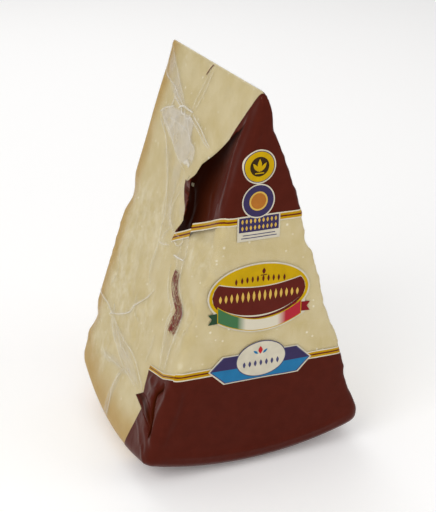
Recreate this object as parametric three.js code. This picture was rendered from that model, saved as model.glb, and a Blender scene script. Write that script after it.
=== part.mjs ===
// A vacuum-packed wedge of hard, grainy cheese, standing on its rind.
//
// The wedge is one tenth of half a wheel. Two radial cuts meet at the wheel's hub line, which is
// the top edge. The front is the cut at mid height, the back is the wheel's flat face, and the
// base is the barrel-shaped rind. The solid is the whole pack: cheese and the film shrunk onto it.
//
// Units are millimetres, +Z is up. In the wedge's own coordinates the hub line runs along Y at
// x = 0, z = 0, the front cut is at y = 0, and the rind hangs below it. The mesh is then moved so
// that the origin is under the middle of the pack, on the surface it stands on.

import * as THREE from 'three';

// Driving dimensions
const WEDGE_ANGLE = THREE.MathUtils.degToRad(36); // one tenth of a wheel
const DEPTH = 123; // half the wheel's height
const RIND_RADIUS = 218.8; // hub line to the widest ring of the rind
const BARREL_RADIUS = 191; // the rind's curve across its width
const BARREL_RING_DEPTH = 48; // where that widest ring lies, behind the front cut
const FLAT_SPOT_SAG = 1.5; // how far the rind is pressed flat where it stands
const CUT_STAND_OFF = 0.5; // the film carries each radial face this far off the hub line

// Edge radii
const HUB_RADIUS = 1.0;
const RIND_CORNER_RADIUS = 5;
const FRONT_EDGE = { hub: 0.7, left: 3.5, rind: 6, right: 1.8 };
const BACK_EDGE = { hub: 0.7, left: 2.5, rind: 9, right: 2 };

// Mesh density
const HUB_STEPS = 4;
const RADIAL_STEPS = 42;
const CORNER_STEPS = 4;
const RIND_STEPS = 24;
const EDGE_STEPS = 3;
const DEPTH_STEPS = 21;
const CAP_RINGS = [0.05, 0.16, 0.34, 0.56, 0.8];
const CAP_CENTRE_RADIUS = 140; // hub line to the middle of each end face

// Relief of the faces: the height of each kind of unevenness, and the length of its waves
const TORN = { height: 1.5, length: 17 }; // right face, broken open rather than cut
const GRAIN = { height: 1.1, length: 11 }; // rough middle of the left face
const SLACK = { height: 0.5, length: 34 }; // slow waves of every cut face
const RIND_LIP = { height: 1.4, width: 9 }; // the hard rind stands proud of the torn paste
const GRAIN_PATCH = { depth: 62, radius: 140, halfDepth: 52, halfRadius: 62 };

// Dents: broken corners and the hollow that the film bridges, each at a depth and a radius
const LEFT_DENTS = [
  { depth: 123, radius: 95, halfDepth: 14, halfRadius: 13, dent: 3.0 },
  { depth: 123, radius: 176, halfDepth: 12, halfRadius: 10, dent: 3.2 },
  { depth: 24, radius: 54, halfDepth: 19, halfRadius: 40, dent: 2.4 },
  { depth: 6, radius: 91, halfDepth: 17, halfRadius: 14, dent: 1.8 },
  { depth: 12, radius: 134, halfDepth: 12, halfRadius: 15, dent: 1.4 },
];
const RIGHT_DENTS = [
  { depth: 0, radius: 20, halfDepth: 16, halfRadius: 9, dent: 2.8 },
  { depth: 4, radius: 86, halfDepth: 20, halfRadius: 9, dent: 1.3 },
  { depth: 2, radius: 130, halfDepth: 18, halfRadius: 8, dent: 1.4 },
  { depth: 5, radius: 182, halfDepth: 22, halfRadius: 9, dent: 1.3 },
  { depth: 70, radius: 60, halfDepth: 26, halfRadius: 22, dent: 2.0 },
  { depth: 88, radius: 150, halfDepth: 24, halfRadius: 30, dent: 2.2 },
];

// The gathered film on the left face: a ridge along the folded front corner of the base
const PLEAT = { depth: 15, radius: 186, halfDepth: 9, halfRadius: 26, height: 1.6 };

const HALF_ANGLE = WEDGE_ANGLE / 2;
const SIN = Math.sin(HALF_ANGLE);
const COS = Math.cos(HALF_ANGLE);

function latticeValue(i, j) {
  // A repeatable value from -1 to 1 for each point of a whole-number lattice.
  let h = Math.imul(i, 374761393) + Math.imul(j, 668265263);
  h = Math.imul(h ^ (h >>> 13), 1274126177);
  return (((h ^ (h >>> 16)) >>> 0) / 4294967295) * 2 - 1;
}

function waves(u, v) {
  // Smooth unevenness from -1 to 1, one wave for each unit of u and v.
  const i = Math.floor(u);
  const j = Math.floor(v);
  const s = THREE.MathUtils.smootherstep(u - i, 0, 1);
  const t = THREE.MathUtils.smootherstep(v - j, 0, 1);
  const low = THREE.MathUtils.lerp(latticeValue(i, j), latticeValue(i + 1, j), s);
  const high = THREE.MathUtils.lerp(latticeValue(i, j + 1), latticeValue(i + 1, j + 1), s);
  return THREE.MathUtils.lerp(low, high, t);
}

function patch(spot, depth, radius) {
  // 1 in the middle of an oval patch of a face, falling smoothly to 0 at its border.
  const u = (depth - spot.depth) / spot.halfDepth;
  const v = (radius - spot.radius) / spot.halfRadius;
  return Math.max(0, 1 - u * u - v * v) ** 2;
}

function dents(list, depth, radius) {
  return list.reduce((sum, spot) => sum + spot.dent * patch(spot, depth, radius), 0);
}

function rindRadius(depth) {
  const across = depth - BARREL_RING_DEPTH;
  return RIND_RADIUS - (across * across) / (2 * BARREL_RADIUS);
}

function leftRelief(depth, radius) {
  const slow = SLACK.height * waves(depth / SLACK.length, radius / SLACK.length);
  const grain = GRAIN.height * waves(depth / GRAIN.length + 9, radius / GRAIN.length);
  const pleat = PLEAT.height * patch(PLEAT, depth, radius);
  return slow + grain * patch(GRAIN_PATCH, depth, radius) + pleat - dents(LEFT_DENTS, depth, radius);
}

function rightRelief(depth, radius, edge) {
  const slow = SLACK.height * waves(depth / SLACK.length + 5, radius / SLACK.length + 3);
  const torn = TORN.height * waves(depth / TORN.length, radius / TORN.length + 7);
  const fine = 0.4 * TORN.height * waves(depth / 7, radius / 6);
  const inFromRind = (edge - radius) / RIND_LIP.width;
  const lip = RIND_LIP.height * (1 - THREE.MathUtils.smoothstep(inFromRind, 0.6, 1));
  const near = THREE.MathUtils.smoothstep(radius, 4, 30);
  return (slow + 0.6 * (torn + fine)) * near + lip - dents(RIGHT_DENTS, depth, radius);
}

function reliefAt(point, depth, edge) {
  const fadeAtHub = THREE.MathUtils.smoothstep(point.radius, 2, 22);
  if (point.side === 'left') return leftRelief(depth, point.radius) * fadeAtHub;
  if (point.side === 'right') return rightRelief(depth, point.radius, edge) * fadeAtHub;
  return 0;
}

function outline(depth) {
  // The section across the hub line at one depth: from the hub down the left cut, round the rind
  // and back up the right cut. Each point carries its outward normal.
  const edge = rindRadius(depth);
  const points = [];
  const add = (x, z, nx, nz, side) => points.push({ x, z, nx, nz, side, radius: Math.hypot(x, z) });
  const arc = (cx, cz, radius, from, to, steps, side) => {
    // Angles are measured from straight down, turning towards +X.
    for (let k = 0; k <= steps; k += 1) {
      const a = THREE.MathUtils.lerp(from, to, k / steps);
      add(cx + radius * Math.sin(a), cz - radius * Math.cos(a), Math.sin(a), -Math.cos(a), side);
    }
  };
  const line = (fromRadius, toRadius, sign, side) => {
    // The inner points of a radial cut, which stands off the hub line by CUT_STAND_OFF.
    for (let k = 1; k < RADIAL_STEPS; k += 1) {
      const r = THREE.MathUtils.lerp(fromRadius, toRadius, k / RADIAL_STEPS);
      const x = sign * (r * SIN + CUT_STAND_OFF * COS);
      add(x, -r * COS + CUT_STAND_OFF * SIN, sign * COS, SIN, side);
    }
  };
  const hubZ = -(HUB_RADIUS - CUT_STAND_OFF) / SIN;
  const hubTangent = (HUB_RADIUS - CUT_STAND_OFF) * (COS / SIN);
  const cornerReach = edge - RIND_CORNER_RADIUS;
  const inset = RIND_CORNER_RADIUS - CUT_STAND_OFF;
  const cornerAngle = HALF_ANGLE - Math.asin(inset / cornerReach);
  const cornerTangent = Math.sqrt(cornerReach * cornerReach - inset * inset);
  const cornerX = cornerReach * Math.sin(cornerAngle);
  const cornerZ = -cornerReach * Math.cos(cornerAngle);
  const quarter = Math.PI / 2;

  arc(0, hubZ, HUB_RADIUS, -Math.PI, -quarter - HALF_ANGLE, HUB_STEPS, 'hub');
  line(hubTangent, cornerTangent, -1, 'left');
  arc(-cornerX, cornerZ, RIND_CORNER_RADIUS, -quarter - HALF_ANGLE, -cornerAngle, CORNER_STEPS, 'rind');
  for (let k = 1; k < RIND_STEPS; k += 1) {
    const a = THREE.MathUtils.lerp(-cornerAngle, cornerAngle, k / RIND_STEPS);
    add(edge * Math.sin(a), -edge * Math.cos(a), Math.sin(a), -Math.cos(a), 'rind');
  }
  arc(cornerX, cornerZ, RIND_CORNER_RADIUS, cornerAngle, quarter + HALF_ANGLE, CORNER_STEPS, 'rind');
  line(cornerTangent, hubTangent, 1, 'right');
  arc(0, hubZ, HUB_RADIUS, quarter + HALF_ANGLE, Math.PI, HUB_STEPS, 'hub');
  points.pop(); // the last point is the first one again
  return points;
}

function softenedSizes(table, points) {
  // The edge radius for each outline point, eased from one side to the next.
  let sizes = points.map((point) => table[point.side]);
  for (let pass = 0; pass < 6; pass += 1) {
    sizes = sizes.map((size, i) => {
      const before = sizes[(i + sizes.length - 1) % sizes.length];
      return 0.25 * before + 0.5 * size + 0.25 * sizes[(i + 1) % sizes.length];
    });
  }
  return sizes.map((size, i) => (points[i].side === 'hub' ? Math.min(size, 0.8 * HUB_RADIUS) : size));
}

function stations() {
  // Each station says how far it lies along the front edge's curve, the wall, or the back edge's.
  const list = [];
  for (let k = 0; k <= EDGE_STEPS; k += 1) list.push({ turn: k / EDGE_STEPS, wall: 0 });
  for (let k = 1; k < DEPTH_STEPS; k += 1) list.push({ turn: 1, wall: k / DEPTH_STEPS });
  for (let k = EDGE_STEPS; k >= 0; k -= 1) list.push({ turn: k / EDGE_STEPS, wall: 1 });
  return list;
}

function stationPoints({ turn, wall }) {
  const shape = outline(0);
  const front = softenedSizes(FRONT_EDGE, shape);
  const back = softenedSizes(BACK_EDGE, shape);
  const angle = (turn * Math.PI) / 2;
  return shape.map((plain, i) => {
    const start = wall < 1 ? front[i] * (turn < 1 ? 1 - Math.cos(angle) : 1) : 0;
    const end = back[i] * (turn < 1 && wall === 1 ? 1 - Math.cos(angle) : 1);
    const depth = wall === 1 ? DEPTH - end : THREE.MathUtils.lerp(start, DEPTH - end, wall);
    const inset = (wall === 1 ? back[i] : front[i]) * (1 - Math.sin(angle));
    const point = outline(depth)[i];
    const out = reliefAt(point, depth, rindRadius(depth)) - inset;
    return new THREE.Vector3(point.x + out * point.nx, depth, point.z + out * point.nz);
  });
}

function capPoints(rim, depth, outward) {
  // Rings that close an end face, from the rim towards its middle, with slow waves on it.
  const centre = new THREE.Vector3(0, depth, -CAP_CENTRE_RADIUS);
  return CAP_RINGS.map((share) =>
    rim.map((edge) => {
      const point = edge.clone().lerp(centre, share);
      const calm = THREE.MathUtils.smoothstep(share, 0, 0.3);
      const wave = SLACK.height * waves(point.x / SLACK.length, point.z / SLACK.length + 11);
      point.y = depth + outward * wave * calm;
      return point;
    }),
  );
}

function wedgeGeometry() {
  const walls = stations().map(stationPoints);
  const frontCap = capPoints(walls[0], 0, -1).reverse();
  const backCap = capPoints(walls[walls.length - 1], DEPTH, 1);
  const rings = [...frontCap, ...walls, ...backCap];
  const around = rings[0].length;
  const positions = rings.flat().flatMap((p) => [p.x, p.y, Math.max(p.z, FLAT_SPOT_SAG - RIND_RADIUS)]);
  const faces = [];
  for (let r = 0; r < rings.length - 1; r += 1) {
    for (let i = 0; i < around; i += 1) {
      const a = r * around + i;
      const b = r * around + ((i + 1) % around);
      faces.push(a, b + around, b, a, a + around, b + around);
    }
  }
  const frontCentre = positions.length / 3;
  positions.push(0, 0, -CAP_CENTRE_RADIUS, 0, DEPTH, -CAP_CENTRE_RADIUS);
  const last = (rings.length - 1) * around;
  for (let i = 0; i < around; i += 1) {
    const next = (i + 1) % around;
    faces.push(frontCentre, i, next);
    faces.push(frontCentre + 1, last + next, last + i);
  }
  const geometry = new THREE.BufferGeometry();
  geometry.setAttribute('position', new THREE.Float32BufferAttribute(positions, 3));
  geometry.setIndex(faces);
  geometry.computeVertexNormals();
  return geometry;
}

const wrappedWedge = new THREE.Mesh(
  wedgeGeometry(),
  new THREE.MeshStandardMaterial({ color: 0xc3b38e, roughness: 0.35, metalness: 0 }),
);
wrappedWedge.name = 'wrapped_wedge';
wrappedWedge.geometry.computeBoundingBox();
const box = wrappedWedge.geometry.boundingBox;
wrappedWedge.position.set(-(box.min.x + box.max.x) / 2, -(box.min.y + box.max.y) / 2, -box.min.z);

const group = new THREE.Group();
group.add(wrappedWedge);

export default group;
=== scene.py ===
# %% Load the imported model
import math
import random

import bmesh
import bpy
import numpy as np
from mathutils import Matrix, Vector
from mathutils.bvhtree import BVHTree


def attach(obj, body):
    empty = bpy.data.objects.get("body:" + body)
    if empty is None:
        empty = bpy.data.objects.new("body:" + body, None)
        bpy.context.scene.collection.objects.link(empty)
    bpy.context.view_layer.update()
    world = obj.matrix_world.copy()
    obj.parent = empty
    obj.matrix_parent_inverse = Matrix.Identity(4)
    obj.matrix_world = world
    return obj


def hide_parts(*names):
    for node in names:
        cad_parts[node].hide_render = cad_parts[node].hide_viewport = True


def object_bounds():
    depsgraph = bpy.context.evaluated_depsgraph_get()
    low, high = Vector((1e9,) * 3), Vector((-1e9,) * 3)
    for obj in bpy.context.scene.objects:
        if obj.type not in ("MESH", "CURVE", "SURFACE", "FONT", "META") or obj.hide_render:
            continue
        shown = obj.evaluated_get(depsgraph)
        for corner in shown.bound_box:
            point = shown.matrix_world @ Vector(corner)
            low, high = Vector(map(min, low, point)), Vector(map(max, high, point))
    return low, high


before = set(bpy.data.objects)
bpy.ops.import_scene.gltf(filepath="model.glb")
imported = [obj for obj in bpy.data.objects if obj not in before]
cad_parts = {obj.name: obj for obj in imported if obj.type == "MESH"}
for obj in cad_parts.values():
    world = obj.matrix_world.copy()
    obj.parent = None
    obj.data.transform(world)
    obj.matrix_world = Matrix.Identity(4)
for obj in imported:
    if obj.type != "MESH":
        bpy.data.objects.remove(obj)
cad_low, cad_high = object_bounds()
print("frame:", sorted(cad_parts), "box", [round(1000 * s, 1) for s in cad_high - cad_low], "mm")

# %% [markdown]
# # A wedge of parmesan in vacuum film
#
# The real pack is a wedge of aged cheese, half a wheel high and one tenth of its round, with two
# webs of film drawn down onto it by vacuum. One web is printed: brown at the point and at the
# base, with striped borders and a few plain badges between them. The other is clear.
#
# We make it the way it is made in life. First the cheese, then the film around it, then the
# folds where the film had too much slack, then the ink. All places are worked out from the
# wedge's own measures: how deep behind the front cut, and how far from the wheel's hub line.

# %% The wedge's own measures
MM = 0.001
WEDGE_DEGREES = 36
HALF_ANGLE = math.radians(WEDGE_DEGREES / 2)
DEPTH = 123 * MM            # front cut to the wheel's flat face
HUB_ROUNDING = 0.6 * MM     # the hub edge is rounded, so the hub line lies just above it
RIND_RADIUS = 218.8 * MM
BARREL_RADIUS = 191 * MM    # the rind's curve across its width
BARREL_RING_DEPTH = 48 * MM

HUB_X = (cad_low.x + cad_high.x) / 2
HUB_Z = cad_high.z + HUB_ROUNDING
FRONT_Y = (cad_low.y + cad_high.y) / 2 - DEPTH / 2
LEFT_OUT = Vector((-math.cos(HALF_ANGLE), 0, math.sin(HALF_ANGLE)))
RIGHT_OUT = Vector((math.cos(HALF_ANGLE), 0, math.sin(HALF_ANGLE)))
FRONT_OUT = Vector((0, -1, 0))


def rind_radius(depth):
    return RIND_RADIUS - (depth - BARREL_RING_DEPTH) ** 2 / (2 * BARREL_RADIUS)


def at(radius, depth, angle):
    """The point at a distance from the hub line, a depth behind the front cut and an angle."""
    return Vector((HUB_X + radius * math.sin(angle), FRONT_Y + depth, HUB_Z - radius * math.cos(angle)))


print("hub line at z", round(HUB_Z / MM, 1), "mm, front cut at y", round(FRONT_Y / MM, 1), "mm")

# %% [markdown]
# ## The studio
#
# A camera, a pale floor and soft light come first, so that every later step can be looked at.
# The camera stands to the left of the printed front and looks down on it a little. Large area
# lamps give broad, soft gloss, as the boxes round a product table do.

# %% Camera
CAMERA_AZIMUTH = math.radians(-23.98)
CAMERA_ELEVATION = math.radians(23.43)
CAMERA_ROLL = math.radians(0.81)
CAMERA_DISTANCE = 623.3 * MM
CAMERA_AIM = Vector((HUB_X - 25.0 * MM, FRONT_Y, HUB_Z - 83.8 * MM))
LENS_MM = 85.3

view_back = Vector((
    math.sin(CAMERA_AZIMUTH) * math.cos(CAMERA_ELEVATION),
    -math.cos(CAMERA_AZIMUTH) * math.cos(CAMERA_ELEVATION),
    math.sin(CAMERA_ELEVATION),
))
bpy.ops.object.camera_add(location=CAMERA_AIM + view_back * CAMERA_DISTANCE)
camera = bpy.context.object
camera.name = "camera"
camera.rotation_mode = "QUATERNION"
roll = Matrix.Rotation(CAMERA_ROLL, 3, "Z").to_quaternion()
camera.rotation_quaternion = (-view_back).to_track_quat("-Z", "Y") @ roll
camera.data.sensor_width = 36
camera.data.lens = LENS_MM
camera.data.clip_start = 0.01
bpy.context.scene.camera = camera
print("camera", [round(c, 3) for c in camera.location], "lens", camera.data.lens)


# %% Small helpers: one for selection, one for colour, one for a node
def deselect_all():
    if bpy.context.object and bpy.context.object.mode != "OBJECT":
        bpy.ops.object.mode_set(mode="OBJECT")
    bpy.ops.object.select_all(action="DESELECT")


def activate(piece):
    deselect_all()
    piece.select_set(True)
    bpy.context.view_layer.objects.active = piece


def linear(hex_colour, alpha=1.0):
    """An sRGB hex colour as the linear values that a shader works in."""
    values = [int(hex_colour[i:i + 2], 16) / 255 for i in (1, 3, 5)]
    return [v / 12.92 if v <= 0.04045 else ((v + 0.055) / 1.055) ** 2.4 for v in values] + [alpha]


def node(tree, kind, inputs=None, **settings):
    """Adds a node with its settings. An input takes a plain value or another node's output."""
    made = tree.nodes.new(kind)
    for name, value in settings.items():
        setattr(made, name, value)
    for name, value in (inputs or {}).items():
        if isinstance(value, bpy.types.NodeSocket):
            tree.links.new(value, made.inputs[name])
        else:
            made.inputs[name].default_value = value
    return made


# %% Floor and light
bpy.ops.mesh.primitive_plane_add(size=40, location=(0, 0, cad_low.z))
floor = bpy.context.object
floor.name = "floor"
floor_paint = bpy.data.materials.new("pale floor paint")
floor_paint.use_nodes = True
# it glows a little, so that it stays white where the lamps are far away
for socket, value in (
    ("Base Color", linear("#FCFBFA")), ("Roughness", 0.8),
    ("Emission Color", linear("#FFFFFF")), ("Emission Strength", 0.12),
):
    floor_paint.node_tree.nodes["Principled BSDF"].inputs[socket].default_value = value
floor.data.materials.append(floor_paint)

# name, place, size, power in watts; each lamp aims at the middle of the wedge
LAMPS = (
    ("key_box", (-0.95, -0.60, 0.95), 0.80, 7.4),
    ("fill_box", (0.95, -0.80, 0.70), 0.90, 2.5),
    ("spark_box", (-0.30, -0.95, 0.85), 0.10, 0.6),
    ("back_box", (0.10, 1.05, 1.00), 0.90, 3.4),
)
middle = (cad_low + cad_high) / 2
for lamp_name, place, size, power in LAMPS:
    bpy.ops.object.light_add(type="AREA", location=place)
    lamp = bpy.context.object
    lamp.name = lamp_name
    lamp.data.size = size
    lamp.data.energy = power
    lamp.rotation_euler = (middle - Vector(place)).to_track_quat("-Z", "Y").to_euler()

world = bpy.data.worlds.new("studio")
bpy.context.scene.world = world
world.use_nodes = True
background = world.node_tree.nodes["Background"].inputs
background["Color"].default_value = linear("#FFFFFF")
background["Strength"].default_value = 0.56
bpy.context.scene.view_settings.view_transform = "Standard"
print("lamps", len(LAMPS))

# %% [markdown]
# ## The cheese
#
# A wheel is round about its hub line, so a wedge of it is one flat section spun through the
# wedge's angle. We start from a grid, give its outer side the barrel curve of the rind, and spin
# it. The grid's fine squares stay square on both cuts, where the relief has to be finest. A
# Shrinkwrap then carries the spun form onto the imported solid, which has the broken corners.


# %% Spin a wedge
def spun_wedge(name, depth_steps, radius_steps, angle_steps):
    deselect_all()
    bpy.ops.mesh.primitive_grid_add(x_subdivisions=depth_steps, y_subdivisions=radius_steps, size=1)
    wedge = bpy.context.object
    wedge.name = name
    for vertex in wedge.data.vertices:
        depth = (vertex.co.x + 0.5) * DEPTH
        vertex.co = at((vertex.co.y + 0.5) * rind_radius(depth), depth, -HALF_ANGLE)
    bpy.ops.object.mode_set(mode="EDIT")
    bpy.ops.mesh.select_all(action="SELECT")
    bpy.ops.mesh.spin(
        steps=angle_steps, angle=2 * HALF_ANGLE, center=(HUB_X, 0, HUB_Z), axis=(0, 1, 0)
    )
    bpy.ops.mesh.select_all(action="SELECT")
    bpy.ops.mesh.remove_doubles(threshold=0.02 * MM)
    bpy.ops.mesh.normals_make_consistent(inside=False)
    bpy.ops.object.mode_set(mode="OBJECT")
    return wedge


def apply_modifier(piece, kind, **settings):
    activate(piece)
    modifier = piece.modifiers.new(kind.lower(), kind)
    for key, value in settings.items():
        setattr(modifier, key, value)
    bpy.ops.object.modifier_apply(modifier=modifier.name)


cad_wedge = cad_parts["wrapped_wedge"]
cheese = spun_wedge("cheese_wedge", 112, 198, 56)
apply_modifier(cheese, "SHRINKWRAP", target=cad_wedge, wrap_method="NEAREST_SURFACEPOINT")
print("cheese:", len(cheese.data.polygons), "faces")


# %% Read a piece in the wedge's own measures
def vectors(items, name):
    """One vector for each vertex or face of a mesh, such as its place or its normal."""
    values = np.empty(len(items) * 3)
    items.foreach_get(name, values)
    return values.reshape(-1, 3)


def measure(piece):
    """For each vertex: depth, radius and angle, in mm and degrees, its place and its normal."""
    co, normal = vectors(piece.data.vertices, "co"), vectors(piece.data.vertices, "normal")
    across, down = co[:, 0] - HUB_X, HUB_Z - co[:, 2]
    return {
        "co": co,
        "normal": normal,
        "depth": (co[:, 1] - FRONT_Y) / MM,
        "radius": np.hypot(across, down) / MM,
        "angle": np.degrees(np.arctan2(across, down)),
        "x": across / MM,
        "drop": down / MM,
    }


def put_back(piece, co):
    piece.data.vertices.foreach_set("co", co.ravel())
    piece.data.update()


def ease(value, low, high):
    t = np.clip((value - low) / (high - low), 0, 1)
    return t * t * (3 - 2 * t)


def facing(found, direction, sharp=0.55):
    """1 where the surface faces a direction, easing to 0 as it turns away."""
    return ease(found["normal"] @ np.array(direction), sharp, 0.9)


def group(piece, name, weights):
    made = piece.vertex_groups.new(name=name)
    for step in range(1, 11):
        low, high = (step - 0.5) / 10, (step + 0.5) / 10
        chosen = np.flatnonzero((weights >= low) & (weights < high))
        if len(chosen):
            made.add(chosen.tolist(), step / 10, "REPLACE")


TIP_ROUNDING = 9     # mm; the front end of the hub edge is worn to a soft round
found = measure(cheese)
back, below = TIP_ROUNDING - found["depth"], TIP_ROUNDING - found["drop"]
reach = np.hypot(back, below)
shrink = np.where((back > 0) & (below > 0) & (reach > TIP_ROUNDING), TIP_ROUNDING / np.maximum(reach, 1), 1)
found["co"][:, 1] += back * (1 - shrink) * MM
found["co"][:, 2] -= below * (1 - shrink) * MM
put_back(cheese, found["co"])

found = measure(cheese)
to_rim = rind_radius(found["depth"] * MM) / MM - found["radius"]
to_cut = np.radians(WEDGE_DEGREES / 2 - np.abs(found["angle"])) * found["radius"]
on_cut = ease(found["depth"], 5, 12) * ease(DEPTH / MM - found["depth"], 4, 10)
inner = np.where(np.abs(found["normal"][:, 1]) > 0.7, ease(to_cut, 4, 10), on_cut)
inner = inner * ease(found["radius"], 4, 14) * np.where(np.abs(to_rim) > 1, ease(to_rim, 3, 10), on_cut)
group(cheese, "flats", inner)
group(cheese, "not_hub", ease(found["radius"], 3, 12))
apply_modifier(cheese, "SMOOTH", factor=0.5, iterations=3, vertex_group="not_hub")
apply_modifier(cheese, "SMOOTH", factor=0.5, iterations=14, vertex_group="flats")
print("cheese box", [round(s / MM, 1) for s in Vector(cheese.bound_box[6]) - Vector(cheese.bound_box[0])])


# %% [markdown]
# ### Broken paste
#
# Aged paste doesn't cut, it splits. The left cut is smooth in places and crumbly in others, and
# the right cut is torn from top to bottom. Displace modifiers with cloud and cell patterns do
# this, each held to its own place by a vertex group.


# %% Relief of the paste
def oval(found, depth, radius, half_depth, half_radius):
    """1 in the middle of an oval patch of a radial cut, easing to 0 at its border."""
    u = (found["depth"] - depth) / half_depth
    v = (found["radius"] - radius) / half_radius
    return np.clip(1 - u * u - v * v, 0, 1)


def pattern(name, kind, size, **settings):
    made = bpy.data.textures.new(name, kind)
    made.noise_scale = size
    for key, value in settings.items():
        setattr(made, key, value)
    return made


found = measure(cheese)
on_left, on_right = facing(found, LEFT_OUT), facing(found, RIGHT_OUT)
# depth, radius, half depth, half radius of each crumbly patch of the left cut, in mm
CRUMBLY = (
    (98, 118, 34, 46), (104, 176, 30, 30), (66, 148, 26, 26),
    (18, 94, 20, 14), (15, 130, 17, 22), (70, 96, 30, 22),
)
crumbly = np.clip(sum(1.6 * oval(found, *patch) for patch in CRUMBLY), 0, 1) * on_left
group(cheese, "crumbly", np.clip(crumbly + on_right, 0, 1) * ease(found["radius"], 6, 30))
group(cheese, "torn", on_right * ease(found["radius"], 6, 30))
# name, kind of pattern, its size and strength in mm, and where it acts
for name, kind, size, strength, where, settings in (
    ("crumbs", "CLOUDS", 4.5, 1.5, "crumbly", {"noise_depth": 3}),
    ("splits", "VORONOI", 7, 1.6, "torn", {"distance_metric": "DISTANCE"}),
    ("slow waves", "CLOUDS", 22, 0.9, "flats", {"noise_depth": 1}),
):
    apply_modifier(
        cheese, "DISPLACE", texture=pattern(name, kind, size * MM, **settings),
        texture_coords="LOCAL", strength=strength * MM, mid_level=0.5, vertex_group=where,
    )
print("crumbly vertices:", int((crumbly > 0.3).sum()))

# %% [markdown]
# ## The film
#
# Vacuum pulls the film onto the cheese, so the film is the cheese's own form with the finest
# roughness bridged over. We spin a second wedge, wrap it onto the cheese nearly half a millimetre
# out, and smooth it. Then come the folds: each is a line of a few points with a width and a
# height. Where the film is doubled or creased it also turns milky, so a fold carries some of that.

# %% Shrink a film onto the cheese
FILM_GAP = 0.45 * MM
LEAST_FILM_GAP = 0.28 * MM      # under a fold the film comes this near to the cheese
film = spun_wedge("clear_film", 123, 214, 56)
apply_modifier(
    film, "SHRINKWRAP", target=cheese, wrap_method="NEAREST_SURFACEPOINT",
    wrap_mode="ABOVE_SURFACE", offset=FILM_GAP,
)
found = measure(film)
group(film, "not_hub", ease(found["radius"], 3, 12))
apply_modifier(film, "SMOOTH", factor=0.5, iterations=5, vertex_group="not_hub")
print("film:", len(film.data.polygons), "faces")


# %% What a fold does to the film
def distance_to(points, u, v):
    """Each vertex's distance to a line of points, and how far along the line it is, 0 to 1."""
    nearest, along = np.full(len(u), 1e9), np.zeros(len(u))
    lengths = [math.dist(a, b) for a, b in zip(points, points[1:])]
    walked = 0
    for (au, av), (bu, bv), length in zip(points, points[1:], lengths):
        share = np.clip(((u - au) * (bu - au) + (v - av) * (bv - av)) / length ** 2, 0, 1)
        gap = np.hypot(u - au - share * (bu - au), v - av - share * (bv - av))
        along = np.where(gap < nearest, (walked + share * length) / sum(lengths), along)
        nearest = np.minimum(nearest, gap)
        walked += length
    return nearest, along


def curved(points, step=1.5):
    """A smooth line through the points, with a point about every step of its length."""
    ends = [points[0]] + list(points) + [points[-1]]
    line = []
    for p, a, b, n in zip(ends, ends[1:], ends[2:], ends[3:]):
        count = max(1, round(math.dist(a, b) / step))
        for k in range(count):
            t = k / count
            line.append(tuple(0.5 * (
                2 * a[i] + (b[i] - p[i]) * t + (2 * p[i] - 5 * a[i] + 4 * b[i] - n[i]) * t ** 2
                + (3 * a[i] - p[i] - 3 * b[i] + n[i]) * t ** 3
            ) for i in (0, 1)))
    return line + [tuple(points[-1])]


def fold(points, width, height, milk=0.0, painted_shade=0.0, ends=0.15, sharp=1.5):
    """A fold in the film: its line in mm, half width, height, how milky, how much painted shade, how sharp.
    """
    return dict(points=curved(points, 3), width=width, height=height, milk=milk, painted_shade=painted_shade,
                ends=ends, sharp=sharp)


def lay_folds(folds, u, v, where, totals):
    faces_it = where > 0.01
    for crease in folds:
        reach = 2.6 * crease["width"]
        us, vs = zip(*crease["points"])
        near = faces_it & (u > min(us) - reach) & (u < max(us) + reach)
        near &= (v > min(vs) - reach) & (v < max(vs) + reach)
        chosen = np.flatnonzero(near)
        gap, along = distance_to(crease["points"], u[chosen], v[chosen])
        ends = crease["ends"]
        taper = ease(along, -0.01, ends) * ease(1 - along, -0.01, ends) if ends else 1
        shape = np.exp(-((gap / crease["width"]) ** crease["sharp"])) * taper * where[chosen]
        totals["height"][chosen] += crease["height"] * shape
        for key in ("milk", "painted_shade"):
            totals[key][chosen] = np.maximum(totals[key][chosen], crease[key] * shape)


# %% [markdown]
# ### Folds of the left side
#
# The slack of both webs was gathered on the left cut. A pleat runs from the top back corner to a
# knot of small creases, long soft pleats fall from there, a heat seal runs down beside the
# front corner, and a star of creases lies low down. A broad fold is two layers of film lying
# flat, a faint milky band. Points are depth and radius, in mm.

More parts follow.
